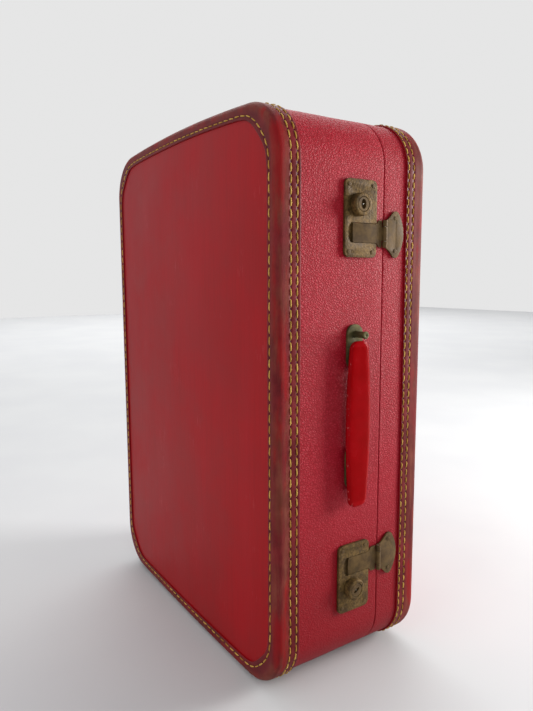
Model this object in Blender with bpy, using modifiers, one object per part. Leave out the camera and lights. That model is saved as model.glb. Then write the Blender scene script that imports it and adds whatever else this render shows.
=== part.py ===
"""Hard-shell weekender suitcase standing on its short end, as separate solids.

Metres, +Z up.  X is the depth (body panel at -X, lid panel at +X), the handle and the
locks are on the -Y wall and the hinges on the +Y wall.  The case stands on z = 0.  Every
piece is drawn in the case's own frame, where the handle's posts are at x = 0 and the two
long walls are as far from y = 0 as each other.  It is then shifted in plan, so that the
origin is the bottom centre of the whole object's bounding box.
"""

import math

import bmesh
import bpy
from mathutils import Matrix, Vector

# ---- the case -------------------------------------------------------------------
HEIGHT = 0.5363
WIDTH = 0.3640
BODY_FACE_X = -0.0862
LID_FACE_X = 0.0877
SPLIT_X = 0.0345
RIM_GAP = 0.0003
CORNER_RADIUS = 0.0500
CORNER_STEPS = 9
TOP_CROWN = 0.0043
TOP_STEPS = 6
BOTTOM_CROWN = 0.0020
BOTTOM_STEPS = 3
FITTINGS_MIDDLE_Z = 0.2665
GAP = 0.0003

# Layers of a wall, counted inwards from the binding's outer face.
COVER_INSET = 0.0018
COVER_THICKNESS = 0.0008
BOARD_INSET = 0.0029
BOARD_THICKNESS = 0.0040
LINING_THICKNESS = 0.0006
LINING_INSET = BOARD_INSET + BOARD_THICKNESS + GAP

# Layers of a panel, counted inwards from the binding's outer face.
PANEL_COVER_DEPTH = 0.0016
PANEL_COVER_INSET = 0.0072
PANEL_BOARD_DEPTH = 0.0027
PANEL_BOARD_BEVEL = 0.0018
PANEL_STACK = PANEL_BOARD_DEPTH + BOARD_THICKNESS
WALL_COVER_START = 0.0072

# The binding that wraps the edge between wall and panel.
BINDING_ON_WALL = 0.0256
BINDING_ON_PANEL = 0.0147
BINDING_ROUND = 0.0069
BINDING_WALL_THICKNESS = 0.0015
BINDING_PANEL_THICKNESS = 0.0013
BINDING_ARC_STEPS = 4
BINDING_CORNER_EXTRA = 0.0061
BINDING_CORNER_RUN = 0.0150
BINDING_RUN_STEPS = 3

# The rail inside the body's rim, which the lid closes over.
RAIL_INSET = 0.0081
RAIL_THICKNESS = 0.0025
RAIL_START_X = 0.0140
RAIL_PAST_SPLIT = 0.0065
LID_LINING_START_X = 0.0430

# ---- hinges on the +Y wall --------------------------------------------------------
HINGE_AXIS_OUT = 0.0020
HINGE_BARREL = 0.0025
HINGE_BORE = 0.0013
HINGE_PIN = 0.0010
HINGE_HEIGHT = 0.0380
HINGE_REACH = 0.0240
HINGE_SPACING = 0.1400
HINGE_MIDDLE_KNUCKLE = 0.0120
LEAF_THICKNESS = 0.0014
KNUCKLE_GAP = 0.0005
KNUCKLE_CLEARANCE = 0.0032

# ---- locks on the -Y wall, mirror images about the middle height ------------------
LOCK_SPACING = 0.1674
LOCK_PLATE_X = {"upper": 0.0048, "lower": 0.0024}
LOCK_PLATE_OFFSET = {"upper": 0.0007, "lower": 0.0}
LOCK_PLATE_WIDTH = 0.0376
LOCK_PLATE_HEIGHT = {"upper": 0.0682, "lower": 0.0668}
LOCK_PLATE_RADIUS = 0.0050
LOCK_PLATE_THICKNESS = 0.0024
LOCK_NAIL_INSET = 0.0048
CHANNEL_OFFSET = -0.0118
CHANNEL_WIDTH = 0.0178
CHANNEL_FLOOR = 0.0008
CHANNEL_START_X = -0.0070
CHANNEL_BOW = 0.0039

HASP_AXIS_X = 0.0332
HASP_AXIS_OUT = 0.0033
HASP_BARREL = 0.0023
HASP_BORE = 0.0013
HASP_PIN = 0.0010
HASP_PLATE = (0.0011, 0.0024)
HASP_STRAP_WIDTH = 0.0168
HASP_NECK_WIDTH = 0.0243
HASP_NECK_START = 0.0032
HASP_NECK_END = {"upper": 0.0074, "lower": 0.0098}
HASP_NECK_FLARE = 0.0026
HASP_REACH = 0.0380
HASP_MIDDLE_KNUCKLE = 0.0125

KEEPER_PLATE = (0.0003, 0.0019)
KEEPER_REACH = 0.0253
KEEPER_HEIGHT = 0.0430
KEEPER_FLARE = ((0.0026, 0.0123), (0.0061, 0.0143), (0.0096, 0.0176))
KEEPER_TIP = (0.0151, 0.0163)
KEEPER_TIP_RADIUS = 0.0050
KEEPER_NAIL = (0.0146, 0.0150)

BUTTON_X = {"upper": 0.0017, "lower": 0.0005}
BUTTON_OFFSET = {"upper": 0.0125, "lower": 0.0104}
BUTTON_RADIUS = 0.0102
BUTTON_HEIGHT = 0.0065
BUTTON_TRAVEL = 0.0050
PLUG_RADIUS = 0.0063
PLUG_BORE = 0.0066
PLUG_FLOOR = 0.0013
PLUG_TOP = 0.0064
KEYHOLE_DEPTH = 0.0034
KEYHOLE_PIN = 0.0007
KEYHOLE_HALF_WIDTH = {"upper": 0.0029, "lower": 0.0014}
KEYHOLE_HALF_LENGTH = {"upper": 0.0043, "lower": 0.0038}
KEYHOLE_TURN = {"upper": 0, "lower": -56}

BOLT_THICKNESS = 0.0009
BOLT_HALF_WIDTH = 0.0075
BOLT_BACK = 0.0160
BOLT_FRONT = -0.0009
BOLT_NOSE_END = -0.0027
BOLT_NOSE_HALF_WIDTH = 0.0030
STEM_HALF = 0.0030
BOLT_POCKET_DEPTH = 0.0015
BOLT_POCKET_END = 0.0295
BOLT_CLEARANCE = 0.0004
SPRING_END = 0.0290
SPRING_WIRE = 0.0003
SPRING_HALF_WIDTH = 0.0045
SPRING_WAVES = 5

# ---- handle on the -Y wall ----------------------------------------------------------
HANDLE_Z = 0.2640
HANDLE_PLATE_SPACING = 0.0565
HANDLE_PLATE_WIDTH = 0.0180
HANDLE_PLATE_HEIGHT = 0.0402
HANDLE_PLATE_THICKNESS = 0.0022
HANDLE_PLATE_RADIUS = 0.0080
POST_OFFSET = 0.0112
POST_RADIUS = 0.0029
POST_HEAD_RADIUS = 0.0035
POST_HEAD_THICKNESS = 0.0013
POST_OUT = 0.0170
POST_TRAVEL = 0.0083
POST_BORE = 0.0033
RETAINER_RADIUS = 0.0060
RETAINER_THICKNESS = 0.0015
RETAINER_BORE = 0.0021
POST_TAIL_RADIUS = 0.0018
BUSH_RADIUS = 0.0046
BUSH_FLANGE_RADIUS = 0.0065
BUSH_FLANGE = 0.0010
BUSH_HOLE = 0.0049

GRIP_X = -0.0002
GRIP_BOTTOM_Z = 0.1713
GRIP_LENGTH = 0.1549
GRIP_MIDDLE_WIDTH = 0.0279
GRIP_END_WIDTH = 0.0213
GRIP_END_ROUND = 0.0095
GRIP_BACK = 0.0060
GRIP_THICKNESS = 0.0044
GRIP_EDGE = 0.0013
GRIP_LIP = 0.0011
GRIP_SLOT_DEPTH = 0.0030
GRIP_SLOT_LENGTH = 0.0286
GRIP_NECK_HALF = 0.0033
GRIP_HEAD_HALF = 0.0040

# ---- nails --------------------------------------------------------------------------
NAIL_HEAD = 0.0020
NAIL_DOME = 0.0006
NAIL_SHANK = 0.0009
NAIL_HOLE = 0.0013

# ---- pocket in the lid --------------------------------------------------------------
POCKET_MOUTH_Y = -0.0600
POCKET_HINGE_Y = 0.1560
POCKET_Z_MARGIN = 0.0340
POCKET_FROM_FACE = (0.0140, 0.0082)
POCKET_BAND_WIDTH = 0.0090
POCKET_RADIUS = 0.0300

# ---- derived places -----------------------------------------------------------------
WALL_OUT = WIDTH / 2 - COVER_INSET
HINGE_AXIS_Y = WIDTH / 2 + HINGE_AXIS_OUT
FITTING_OUT = WALL_OUT + GAP
CASE_SHIFT = Vector((-(BODY_FACE_X + LID_FACE_X) / 2,
                     (WALL_OUT + POST_OUT - HINGE_AXIS_Y - HINGE_BARREL) / 2, 0))

OUTWARD = Matrix.Rotation(math.radians(90), 4, "X")
ALONG_X = Matrix(((0, 0, 1, 0), (1, 0, 0, 0), (0, 1, 0, 0), (0, 0, 0, 1)))
ALONG_Z = Matrix.Identity(4)

MATERIALS = {
    "panel_vinyl": ((0.300, 0.014, 0.024), 0.42, 0.0),
    "pebbled_vinyl": ((0.270, 0.022, 0.050), 0.50, 0.0),
    "binding_vinyl": ((0.130, 0.017, 0.034), 0.45, 0.0),
    "board": ((0.330, 0.220, 0.120), 0.85, 0.0),
    "lining_cloth": ((0.480, 0.390, 0.280), 0.90, 0.0),
    "brass": ((0.170, 0.110, 0.045), 0.45, 1.0),
    "steel": ((0.420, 0.410, 0.390), 0.40, 1.0),
    "grip_plastic": ((0.380, 0.002, 0.003), 0.18, 0.0),
}


# ---- scene and object helpers ---------------------------------------------------------
def clear_scene():
    for item in list(bpy.data.objects):
        bpy.data.objects.remove(item, do_unlink=True)


def new_collection(name):
    collection = bpy.data.collections.new(name)
    bpy.context.scene.collection.children.link(collection)
    return collection


def material(name):
    found = bpy.data.materials.get(name)
    if found:
        return found
    colour, roughness, metallic = MATERIALS[name]
    made = bpy.data.materials.new(name)
    made.use_nodes = True
    shader = made.node_tree.nodes["Principled BSDF"]
    shader.inputs["Base Color"].default_value = (*colour, 1.0)
    shader.inputs["Roughness"].default_value = roughness
    shader.inputs["Metallic"].default_value = metallic
    made.diffuse_color = (*colour, 1.0)
    return made


def pivot(name, location=(0, 0, 0)):
    """An empty on a joint's axis, placed in the case's own frame."""
    empty = bpy.data.objects.new(name, None)
    empty.empty_display_size = 0.02
    PARTS.objects.link(empty)
    empty.location = Vector(location) + CASE_SHIFT
    bpy.context.view_layer.update()
    return empty


def attach(item, parent):
    """Parent item to an empty, keeping the place it has in the case's own frame."""
    item.parent = parent
    item.matrix_parent_inverse = parent.matrix_world.inverted() @ Matrix.Translation(CASE_SHIFT)


def piece(name, mesh, slot, parent, matrix=ALONG_Z):
    """A named sub-part, smooth where it is round."""
    item = bpy.data.objects.new(name, mesh)
    PARTS.objects.link(item)
    mesh.materials.clear()
    mesh.materials.append(material(slot))
    mesh.shade_smooth()
    mesh.set_sharp_from_angle(angle=math.radians(35))
    item.matrix_basis = matrix
    attach(item, parent)
    return item


def tool(name, mesh, parent, matrix=ALONG_Z):
    """A cutter or an added block, which isn't a sub-part itself."""
    item = bpy.data.objects.new(name, mesh)
    TOOLS.objects.link(item)
    item.hide_render = True
    item.display_type = "WIRE"
    item.matrix_basis = matrix
    attach(item, parent)
    return item


def combine(item, other, operation):
    boolean = item.modifiers.new(other.name, "BOOLEAN")
    boolean.operation = operation
    boolean.object = other


def bevel(item, width, segments=1):
    rounding = item.modifiers.new("rounded_edges", "BEVEL")
    rounding.width = width
    rounding.segments = segments
    rounding.limit_method = "ANGLE"
    rounding.angle_limit = math.radians(50)


# ---- mesh helpers ---------------------------------------------------------------------
def evaluated_mesh(item):
    """The closed mesh of a curve or of an object with modifiers, which is then removed."""
    bpy.context.scene.collection.objects.link(item)
    bpy.context.view_layer.update()
    graph = bpy.context.evaluated_depsgraph_get()
    mesh = bpy.data.meshes.new_from_object(item.evaluated_get(graph))
    bpy.data.objects.remove(item, do_unlink=True)
    edit = bmesh.new()
    edit.from_mesh(mesh)
    bmesh.ops.remove_doubles(edit, verts=edit.verts, dist=0.00001)
    bmesh.ops.dissolve_limit(edit, angle_limit=math.radians(0.5), verts=edit.verts, edges=edit.edges)
    bmesh.ops.recalc_face_normals(edit, faces=edit.faces)
    edit.to_mesh(mesh)
    edit.free()
    return mesh


def flat_curve(loops):
    """A filled flat outline; loops after the first one are holes in it."""
    curve = bpy.data.curves.new("outline", "CURVE")
    curve.dimensions = "2D"
    curve.fill_mode = "BOTH"
    for loop in loops:
        spline = curve.splines.new("POLY")
        spline.points.add(len(loop) - 1)
        for point, (u, v) in zip(spline.points, loop):
            point.co = (u, v, 0, 1)
        spline.use_cyclic_u = True
    return curve


def slab(loops, low, high):
    """A flat outline, solid from low to high along its normal."""
    curve = flat_curve(loops)
    curve.extrude = (high - low) / 2
    mesh = evaluated_mesh(bpy.data.objects.new("slab", curve))
    mesh.transform(Matrix.Translation((0, 0, (low + high) / 2)))
    return mesh


def block(low, high):
    low, high = Vector(low), Vector(high)
    edit = bmesh.new()
    bmesh.ops.create_cube(edit, size=1.0)
    size = Matrix.Diagonal((*(high - low), 1.0))
    edit.transform(Matrix.Translation((low + high) / 2) @ size)
    mesh = bpy.data.meshes.new("block")
    edit.to_mesh(mesh)
    edit.free()
    return mesh


def rod(radius, low, high, sides=20):
    """A round bar on the local Z axis."""
    edit = bmesh.new()
    place = Matrix.Translation((0, 0, (low + high) / 2))
    bmesh.ops.create_cone(edit, cap_ends=True, segments=sides, radius1=radius,
                          radius2=radius, depth=high - low, matrix=place)
    mesh = bpy.data.meshes.new("rod")
    edit.to_mesh(mesh)
    edit.free()
    return mesh


def turned(profile, sides, closed=False):
    """A profile of (radius, height) points turned about the local Z axis."""
    mesh = bpy.data.meshes.new("profile")
    edges = [(i, i + 1) for i in range(len(profile) - 1)]
    if closed:
        edges.append((len(profile) - 1, 0))
    mesh.from_pydata([(r, 0, h) for r, h in profile], edges, [])
    item = bpy.data.objects.new("turned", mesh)
    screw = item.modifiers.new("turn", "SCREW")
    screw.axis = "Z"
    screw.steps = sides
    screw.render_steps = sides
    screw.use_merge_vertices = True
    screw.merge_threshold = 0.00001
    return evaluated_mesh(item)


def copies(mesh, places):
    """Cutters of the same shape, one at each matrix, in one mesh."""
    edit = bmesh.new()
    for place in places:
        one = mesh.copy()
        one.transform(place)
        edit.from_mesh(one)
        bpy.data.meshes.remove(one)
    group = bpy.data.meshes.new("copies")
    edit.to_mesh(group)
    edit.free()
    return group


# ---- outlines -------------------------------------------------------------------------
def rounded_rectangle(half_u, half_v, radius, steps, centre=(0, 0)):
    points = []
    for quarter, (side_u, side_v) in enumerate(((1, 1), (-1, 1), (-1, -1), (1, -1))):
        for step in range(steps + 1):
            angle = math.radians(90) * (quarter + step / steps)
            u = centre[0] + side_u * (half_u - radius) + radius * math.cos(angle)
            v = centre[1] + side_v * (half_v - radius) + radius * math.sin(angle)
            points.append((u, v))
    return points


def rectangle(low_u, low_v, high_u, high_v):
    return [(low_u, low_v), (high_u, low_v), (high_u, high_v), (low_u, high_v)]


def circle(radius, centre=(0, 0), steps=12):
    angles = [math.tau * (step + 0.3) / steps for step in range(steps)]
    return [(centre[0] + radius * math.cos(a), centre[1] + radius * math.sin(a)) for a in angles]


def end_points(crown, steps):
    """One bowed end of the case with its two corners, seen from inside the case.

    Gives (y, height past the end's flat middle, outward y, outward height, corner share) for
    each point.  The corner share is 1 in the middle of a corner and falls to 0 beyond it.
    """
    reach = WIDTH / 2 - CORNER_RADIUS
    slope = 2 * math.atan(crown / reach)
    bow_radius = reach / math.sin(slope) + CORNER_RADIUS
    bow_middle = -bow_radius * (math.cos(slope / steps) if steps % 2 else 1)
    corner_middle = bow_middle + (bow_radius - CORNER_RADIUS) * math.cos(slope)
    corner_turn = math.radians(90) - slope
    points = []
    for step in range(CORNER_STEPS):
        angle = corner_turn * step / CORNER_STEPS
        share = corner_share(CORNER_RADIUS * abs(angle - corner_turn / 2))
        points.append((reach + CORNER_RADIUS * math.cos(angle),
                       corner_middle + CORNER_RADIUS * math.sin(angle),
                       math.cos(angle), math.sin(angle), share))
    for step in range(steps + 1):
        angle = corner_turn + 2 * slope * step / steps
        from_corner = bow_radius * min(angle - corner_turn, math.pi - corner_turn - angle)
        share = corner_share(CORNER_RADIUS * corner_turn / 2 + from_corner)
        points.append((bow_radius * math.cos(angle), bow_middle + bow_radius * math.sin(angle),
                       math.cos(angle), math.sin(angle), share))
    mirrored = [(-y, height, -out_y, out_z, share) for y, height, out_y, out_z, share in points]
    return points + mirrored[CORNER_STEPS - 1::-1]


def corner_share(distance):
    """Eases from 1 in the middle of a corner to 0 on the straight beside it."""
    reach = CORNER_RADIUS * math.radians(90) / 2 + BINDING_CORNER_RUN
    return 0.5 + 0.5 * math.cos(math.pi * min(1.0, distance / reach))


def case_path():
    """The case's outline as (y, z, outward y, outward z, corner share), anticlockwise."""
    top = [(y, HEIGHT + h, out_y, out_z, share)
           for y, h, out_y, out_z, share in end_points(TOP_CROWN, TOP_STEPS)]
    bottom = [(-y, -h, -out_y, -out_z, share)
              for y, h, out_y, out_z, share in end_points(BOTTOM_CROWN, BOTTOM_STEPS)]
    return top + bottom


def case_outline(inset):
    """The case's outline in Y and Z, moved inwards by inset."""
    return [(y - out_y * inset, z - out_z * inset) for y, z, out_y, out_z, share in case_path()]


def side_runs(path):
    """The path with added points on the long sides, where the binding widens to the corners."""
    longer = []
    for start, end in zip(path, path[1:] + path[:1]):
        longer.append(start)
        length = abs(end[1] - start[1])
        if length < WIDTH / 2:
            continue
        upward = 1 if end[1] > start[1] else -1
        marks = [BINDING_CORNER_RUN * (step + 1) / BINDING_RUN_STEPS for step in range(BINDING_RUN_STEPS)]
        for mark in marks + [length - mark for mark in reversed(marks)]:
            past_corner = min(mark, length - mark)
            share = corner_share(CORNER_RADIUS * math.radians(90) / 2 + past_corner)
            longer.append((start[0], start[1] + upward * mark, start[2], start[3], share))
    return longer


def leaf_section(barrel, bore, plate, reach):
    """Hinge leaf and barrel seen along the pin: u runs along the leaf, v away from the wall.

    The barrel is centred on (0, 0); plate holds the heights of the leaf's two faces.
    """
    inner, outer = plate
    toe = 0.0004
    start = -math.acos(toe / barrel)
    end = math.asin(outer / barrel) - math.tau
    steps = 14
    arc = []
    for step in range(steps + 1):
        angle = start + (end - start) * step / steps
        arc.append((barrel * math.cos(angle), barrel * math.sin(angle)))
    outline = [(reach, inner), (toe, inner)] + arc + [(reach, outer)]
    return [outline, circle(bore)]


def mapped(loops, origin, side_u, side_v):
    """Loops moved to origin, each axis with its own sign."""
    return [[(origin[0] + side_u * u, origin[1] + side_v * v) for u, v in loop] for loop in loops]


# ---- shell halves -----------------------------------------------------------------------
def ring(name, slot, parent, inset, thickness, span):
    loops = [case_outline(inset), case_outline(inset + thickness)]
    return piece(name, slab(loops, min(span), max(span)), slot, parent, ALONG_X)


def panel(name, slot, parent, inset, span):
    return piece(name, slab([case_outline(inset)], min(span), max(span)), slot, parent, ALONG_X)


def binding_section(widening):
    """L section: (distance in from the case's outline, distance from its face)."""
    thick_wall, thick_panel = BINDING_WALL_THICKNESS, BINDING_PANEL_THICKNESS
    centre = BINDING_ROUND
    outer, inner = [], []
    for step in range(BINDING_ARC_STEPS + 1):
        angle = math.radians(90) * step / BINDING_ARC_STEPS
        away_u, away_v = math.cos(angle), math.sin(angle)
        outer.append((centre - centre * away_u, centre - centre * away_v))
        inner.append((centre - (centre - thick_wall) * away_u, centre - (centre - thick_panel) * away_v))
    edge = BINDING_ON_PANEL + widening
    section = [(0, BINDING_ON_WALL)] + outer + [(edge, 0), (edge, thick_panel)]
    return section + inner[::-1] + [(thick_wall, BINDING_ON_WALL)]


def binding(name, parent, side, face_x):
    """The binding's section swept round the case; its flange is wider at the corners."""
    rings = []
    for y, z, out_y, out_z, share in side_runs(case_path()):
        section = binding_section(BINDING_CORNER_EXTRA * share)
        rings.append([(face_x - side * v, y - out_y * u, z - out_z * u) for u, v in section])
    count = len(rings[0])
    faces = []
    for step in range(len(rings)):
        start, following = step * count, (step + 1) % len(rings) * count
        for index in range(count):
            beyond = (index + 1) % count
            faces.append((start + index, start + beyond, following + beyond, following + index))
    mesh = bpy.data.meshes.new("binding")
    mesh.from_pydata([point for ring_points in rings for point in ring_points], [], faces)
    edit = bmesh.new()
    edit.from_mesh(mesh)
    bmesh.ops.recalc_face_normals(edit, faces=edit.faces)
    edit.to_mesh(mesh)
    edit.free()
    return piece(name, mesh, "binding_vinyl", parent)


def shell_half(prefix, parent, side, face_x, rim_x, lining_end_x):
    """One half of the case: side is -1 for the body and +1 for the lid."""
    def inward(depth):
        return face_x - side * depth

    panel_end = PANEL_STACK + GAP
    parts = {}
    parts["hoop"] = ring(prefix + "_hoop", "board", parent, BOARD_INSET, BOARD_THICKNESS,
                         (inward(panel_end), rim_x))
    parts["wall_cover"] = ring(prefix + "_wall_cover", "pebbled_vinyl", parent, COVER_INSET,
                               COVER_THICKNESS, (inward(WALL_COVER_START), rim_x))
    lining_depth = panel_end + LINING_THICKNESS
    parts["wall_lining"] = ring(prefix + "_wall_lining", "lining_cloth", parent, LINING_INSET,
                                LINING_THICKNESS, (inward(lining_depth + GAP), lining_end_x))
    board = panel(prefix + "_panel_board", "board", parent, BOARD_INSET,
                  (inward(PANEL_BOARD_DEPTH), inward(PANEL_STACK)))
    bevel(board, PANEL_BOARD_BEVEL)
    panel(prefix + "_panel_cover", "panel_vinyl", parent, PANEL_COVER_INSET,
          (inward(PANEL_COVER_DEPTH), inward(PANEL_COVER_DEPTH + COVER_THICKNESS)))
    panel(prefix + "_panel_lining", "lining_cloth", parent, LINING_INSET,
          (inward(panel_end), inward(lining_depth)))
    binding(prefix + "_binding", parent, side, face_x)
    return parts


def rim_rail(parent):
    ring("body_rim_rail", "board", parent, RAIL_INSET, RAIL_THICKNESS,
         (RAIL_START_X, SPLIT_X + RAIL_PAST_SPLIT))


def lid_pocket(parent):
    """A flat pocket on the lid's panel, its mouth towards the handle."""
    low_z, high_z = POCKET_Z_MARGIN, HEIGHT - POCKET_Z_MARGIN
    span = [LID_FACE_X - depth for depth in POCKET_FROM_FACE]
    start_y = POCKET_MOUTH_Y + POCKET_BAND_WIDTH + GAP
    half = (POCKET_HINGE_Y - start_y) / 2
    outline = rounded_rectangle(half, (high_z - low_z) / 2, POCKET_RADIUS, 4, (start_y + half, HEIGHT / 2))
    square = rectangle(start_y, low_z, start_y + half, high_z)
    cloth = piece("lid_pocket", slab([outline], *span), "lining_cloth", parent, ALONG_X)
    corners = tool("pocket_corners", slab([square], *span), parent, ALONG_X)
    combine(cloth, corners, "UNION")
    band = block((span[0], POCKET_MOUTH_Y, low_z), (span[1], start_y - GAP, high_z))
    piece("lid_pocket_elastic", band, "lining_cloth", parent)


# ---- nails ------------------------------------------------------------------------------
def nail_mesh(plate_thickness):
    """A domed nail standing on the local Z axis; its plate's outer face is at height 0."""
    profile = [(0, NAIL_DOME + GAP), (NAIL_HEAD * 0.55, NAIL_DOME * 0.8 + GAP),
               (NAIL_HEAD, GAP + NAIL_DOME * 0.25), (NAIL_HEAD, GAP), (NAIL_SHANK, GAP),
               (NAIL_SHANK, -plate_thickness), (0, -plate_thickness)]
    return turned(profile, 10)


def nails(prefix, parent, plate_thickness, wall_y, spots):
    """Nails through a plate on the lock wall whose outer face is at wall_y, at (x, z) spots."""
    mesh = nail_mesh(plate_thickness)
    for number, (x, z) in enumerate(spots, 1):
        place = Matrix.Translation((x, wall_y, z)) @ OUTWARD
        piece(f"{prefix}_nail_{number}", mesh.copy(), "brass", parent, place)


# ---- hinges -------------------------------------------------------------------------------
def hinge_leaf(name, parent, middle_z, side):
    """One leaf; the body's keeps the outer knuckles and the lid's the middle one."""
    inner = FITTING_OUT - HINGE_AXIS_Y
    section = leaf_section(HINGE_BARREL, HINGE_BORE, (inner, inner + LEAF_THICKNESS), HINGE_REACH)
    section = mapped(section, (SPLIT_X, HINGE_AXIS_Y), side, 1)
    half = HINGE_HEIGHT / 2
    leaf = piece(name, slab(section, middle_z - half, middle_z + half), "brass", parent)
    middle = (HINGE_MIDDLE_KNUCKLE - side * KNUCKLE_GAP) / 2
    clear = KNUCKLE_CLEARANCE
    spans = [(middle, half + 0.01), (-half - 0.01, -middle)] if side > 0 else [(-middle, middle)]
    for number, (low, high) in enumerate(spans):
        notch = block((SPLIT_X - clear, HINGE_AXIS_Y - 0.008, middle_z + low),
                      (SPLIT_X + clear, HINGE_AXIS_Y + 0.008, middle_z + high))
        combine(leaf, tool(f"{name}_notch_{number}", notch, parent), "DIFFERENCE")


def hinges(body, lid):
    for prefix, sign in (("upper", 1), ("lower", -1)):
        middle_z = FITTINGS_MIDDLE_Z + sign * HINGE_SPACING
        hinge_leaf(prefix + "_hinge_body_leaf", body, middle_z, -1)
        hinge_leaf(prefix + "_hinge_lid_leaf", lid, middle_z, 1)
        half = HINGE_HEIGHT / 2
        place = Matrix.Translation((SPLIT_X, HINGE_AXIS_Y, middle_z))
        piece(prefix + "_hinge_pin", rod(HINGE_PIN, -half, half, 12), "steel", body, place)


# ---- locks --------------------------------------------------------------------------------
class Lock:
    """Places of one lock; sign is +1 for the upper lock and -1 for the lower one."""

    def __init__(self, prefix, sign):
        self.prefix = prefix
        self.sign = sign
        self.middle_z = FITTINGS_MIDDLE_Z + sign * LOCK_SPACING
        self.strap_z = self.level(CHANNEL_OFFSET)
        self.plate_x = LOCK_PLATE_X[prefix]
        self.plate_z = self.level(LOCK_PLATE_OFFSET[prefix])
        self.plate_height = LOCK_PLATE_HEIGHT[prefix]
        self.button_x = BUTTON_X[prefix]
        self.button_offset = BUTTON_OFFSET[prefix]

    def level(self, offset):
        """Height of a point offset outwards from the plate's middle, away from the handle."""
        return self.middle_z + self.sign * offset

    def box(self, x_span, out_span, level_span):
        """A block given in x, distance out from the plate's back face, and level."""
        z_span = sorted(self.level(offset) for offset in level_span)
        return block((x_span[0], -FITTING_OUT - out_span[1], z_span[0]),
                     (x_span[1], -FITTING_OUT - out_span[0], z_span[1]))

    def nail_spots(self):
        half_x = LOCK_PLATE_WIDTH / 2 - LOCK_NAIL_INSET
        half_z = self.plate_height / 2 - LOCK_NAIL_INSET
        return [(self.plate_x + su * half_x, self.plate_z + sv * half_z)
                for su in (-1, 1) for sv in (-1, 1)]

    def keeper_spots(self):
        along, across = KEEPER_NAIL
        return [(HASP_AXIS_X + along, self.strap_z + s * across) for s in (-1, 1)]


def channel_outline(lock):
    """The hasp's channel seen from the front: open to the right, with a bowed left end."""
    half = CHANNEL_WIDTH / 2
    open_x = lock.plate_x + LOCK_PLATE_WIDTH / 2 + 0.004
    steps = 6
    bowed = []
    for step in range(steps + 1):
        across = 1 - 2 * step / steps
        bowed.append((CHANNEL_START_X - CHANNEL_BOW * (1 - across * across), lock.strap_z + half * across))
    return [(open_x, lock.strap_z - half), (open_x, lock.strap_z + half)] + bowed


def lock_plate(lock, body):
    """Pressed plate: a channel in front for the hasp, a pocket behind for bolt and spring."""
    outline = rounded_rectangle(LOCK_PLATE_WIDTH / 2, lock.plate_height / 2, LOCK_PLATE_RADIUS, 4,
                                (lock.plate_x, lock.plate_z))
    around_stem = STEM_HALF + BOLT_CLEARANCE
    slot_ends = sorted((lock.level(lock.button_offset - around_stem),
                        lock.level(lock.button_offset + around_stem + BUTTON_TRAVEL)))
    stem_slot = rectangle(lock.button_x - around_stem, slot_ends[0],
                          lock.button_x + around_stem, slot_ends[1])
    loops = [outline, stem_slot] + [circle(NAIL_HOLE, spot, 10) for spot in lock.nail_spots()]
    mesh = slab(loops, FITTING_OUT, FITTING_OUT + LOCK_PLATE_THICKNESS)
    plate = piece(lock.prefix + "_lock_plate", mesh, "brass", body, OUTWARD)
    beyond = 0.004
    channel = slab([channel_outline(lock)], FITTING_OUT + CHANNEL_FLOOR,
                   FITTING_OUT + LOCK_PLATE_THICKNESS + beyond)
    around_bolt = BOLT_HALF_WIDTH + BOLT_CLEARANCE
    pocket = lock.box((lock.button_x - around_bolt, lock.button_x + around_bolt),
                      (-beyond, BOLT_POCKET_DEPTH),
                      (BOLT_FRONT - BOLT_CLEARANCE, BOLT_POCKET_END))
    around_nose = BOLT_NOSE_HALF_WIDTH + BOLT_CLEARANCE
    window = lock.box((lock.button_x - around_nose, lock.button_x + around_nose),
                      (-beyond, BOLT_POCKET_DEPTH - 0.0001),
                      (CHANNEL_OFFSET + CHANNEL_WIDTH / 2 - 0.0008, BOLT_FRONT + 0.0019))
    for label, mesh, matrix in (("channel", channel, OUTWARD), ("pocket", pocket, ALONG_Z),
                                ("window", window, ALONG_Z)):
        combine(plate, tool(f"{lock.prefix}_{label}", mesh, body, matrix), "DIFFERENCE")


def lock_bolt(lock, parent):
    """Bolt plate with its nose towards the hasp and the stem that carries the button."""
    back, front = GAP, GAP + BOLT_THICKNESS
    plate = lock.box((lock.button_x - BOLT_HALF_WIDTH, lock.button_x + BOLT_HALF_WIDTH), (back, front),
                     (BOLT_FRONT, BOLT_BACK))
    bolt = piece(lock.prefix + "_lock_bolt", plate, "steel", parent)
    shave = 0.0001
    nose = lock.box((lock.button_x - BOLT_NOSE_HALF_WIDTH, lock.button_x + BOLT_NOSE_HALF_WIDTH),
                    (back + shave, front - shave), (BOLT_NOSE_END, BOLT_FRONT + 0.001))
    stem = lock.box((lock.button_x - STEM_HALF, lock.button_x + STEM_HALF),
                    (back + shave, LOCK_PLATE_THICKNESS),
                    (lock.button_offset - STEM_HALF, lock.button_offset + STEM_HALF))
    combine(bolt, tool(lock.prefix + "_bolt_nose", nose, parent), "UNION")
    combine(bolt, tool(lock.prefix + "_bolt_stem", stem, parent), "UNION")


def button_place(lock):
    base = -FITTING_OUT - LOCK_PLATE_THICKNESS - GAP
    return Matrix.Translation((lock.button_x, base, lock.level(lock.button_offset))) @ OUTWARD


def lock_button(lock, parent):
    """Round sliding button with a bore for the key plug."""
    edge = 0.0008
    profile = [(0, PLUG_FLOOR), (PLUG_BORE, PLUG_FLOOR), (PLUG_BORE, BUTTON_HEIGHT),
               (BUTTON_RADIUS - 2 * edge, BUTTON_HEIGHT),
               (BUTTON_RADIUS - edge / 2, BUTTON_HEIGHT - edge / 2),
               (BUTTON_RADIUS, BUTTON_HEIGHT - 2 * edge), (BUTTON_RADIUS, 0), (0, 0)]
    piece(lock.prefix + "_lock_button", turned(profile, 32), "brass", parent, button_place(lock))


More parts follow.
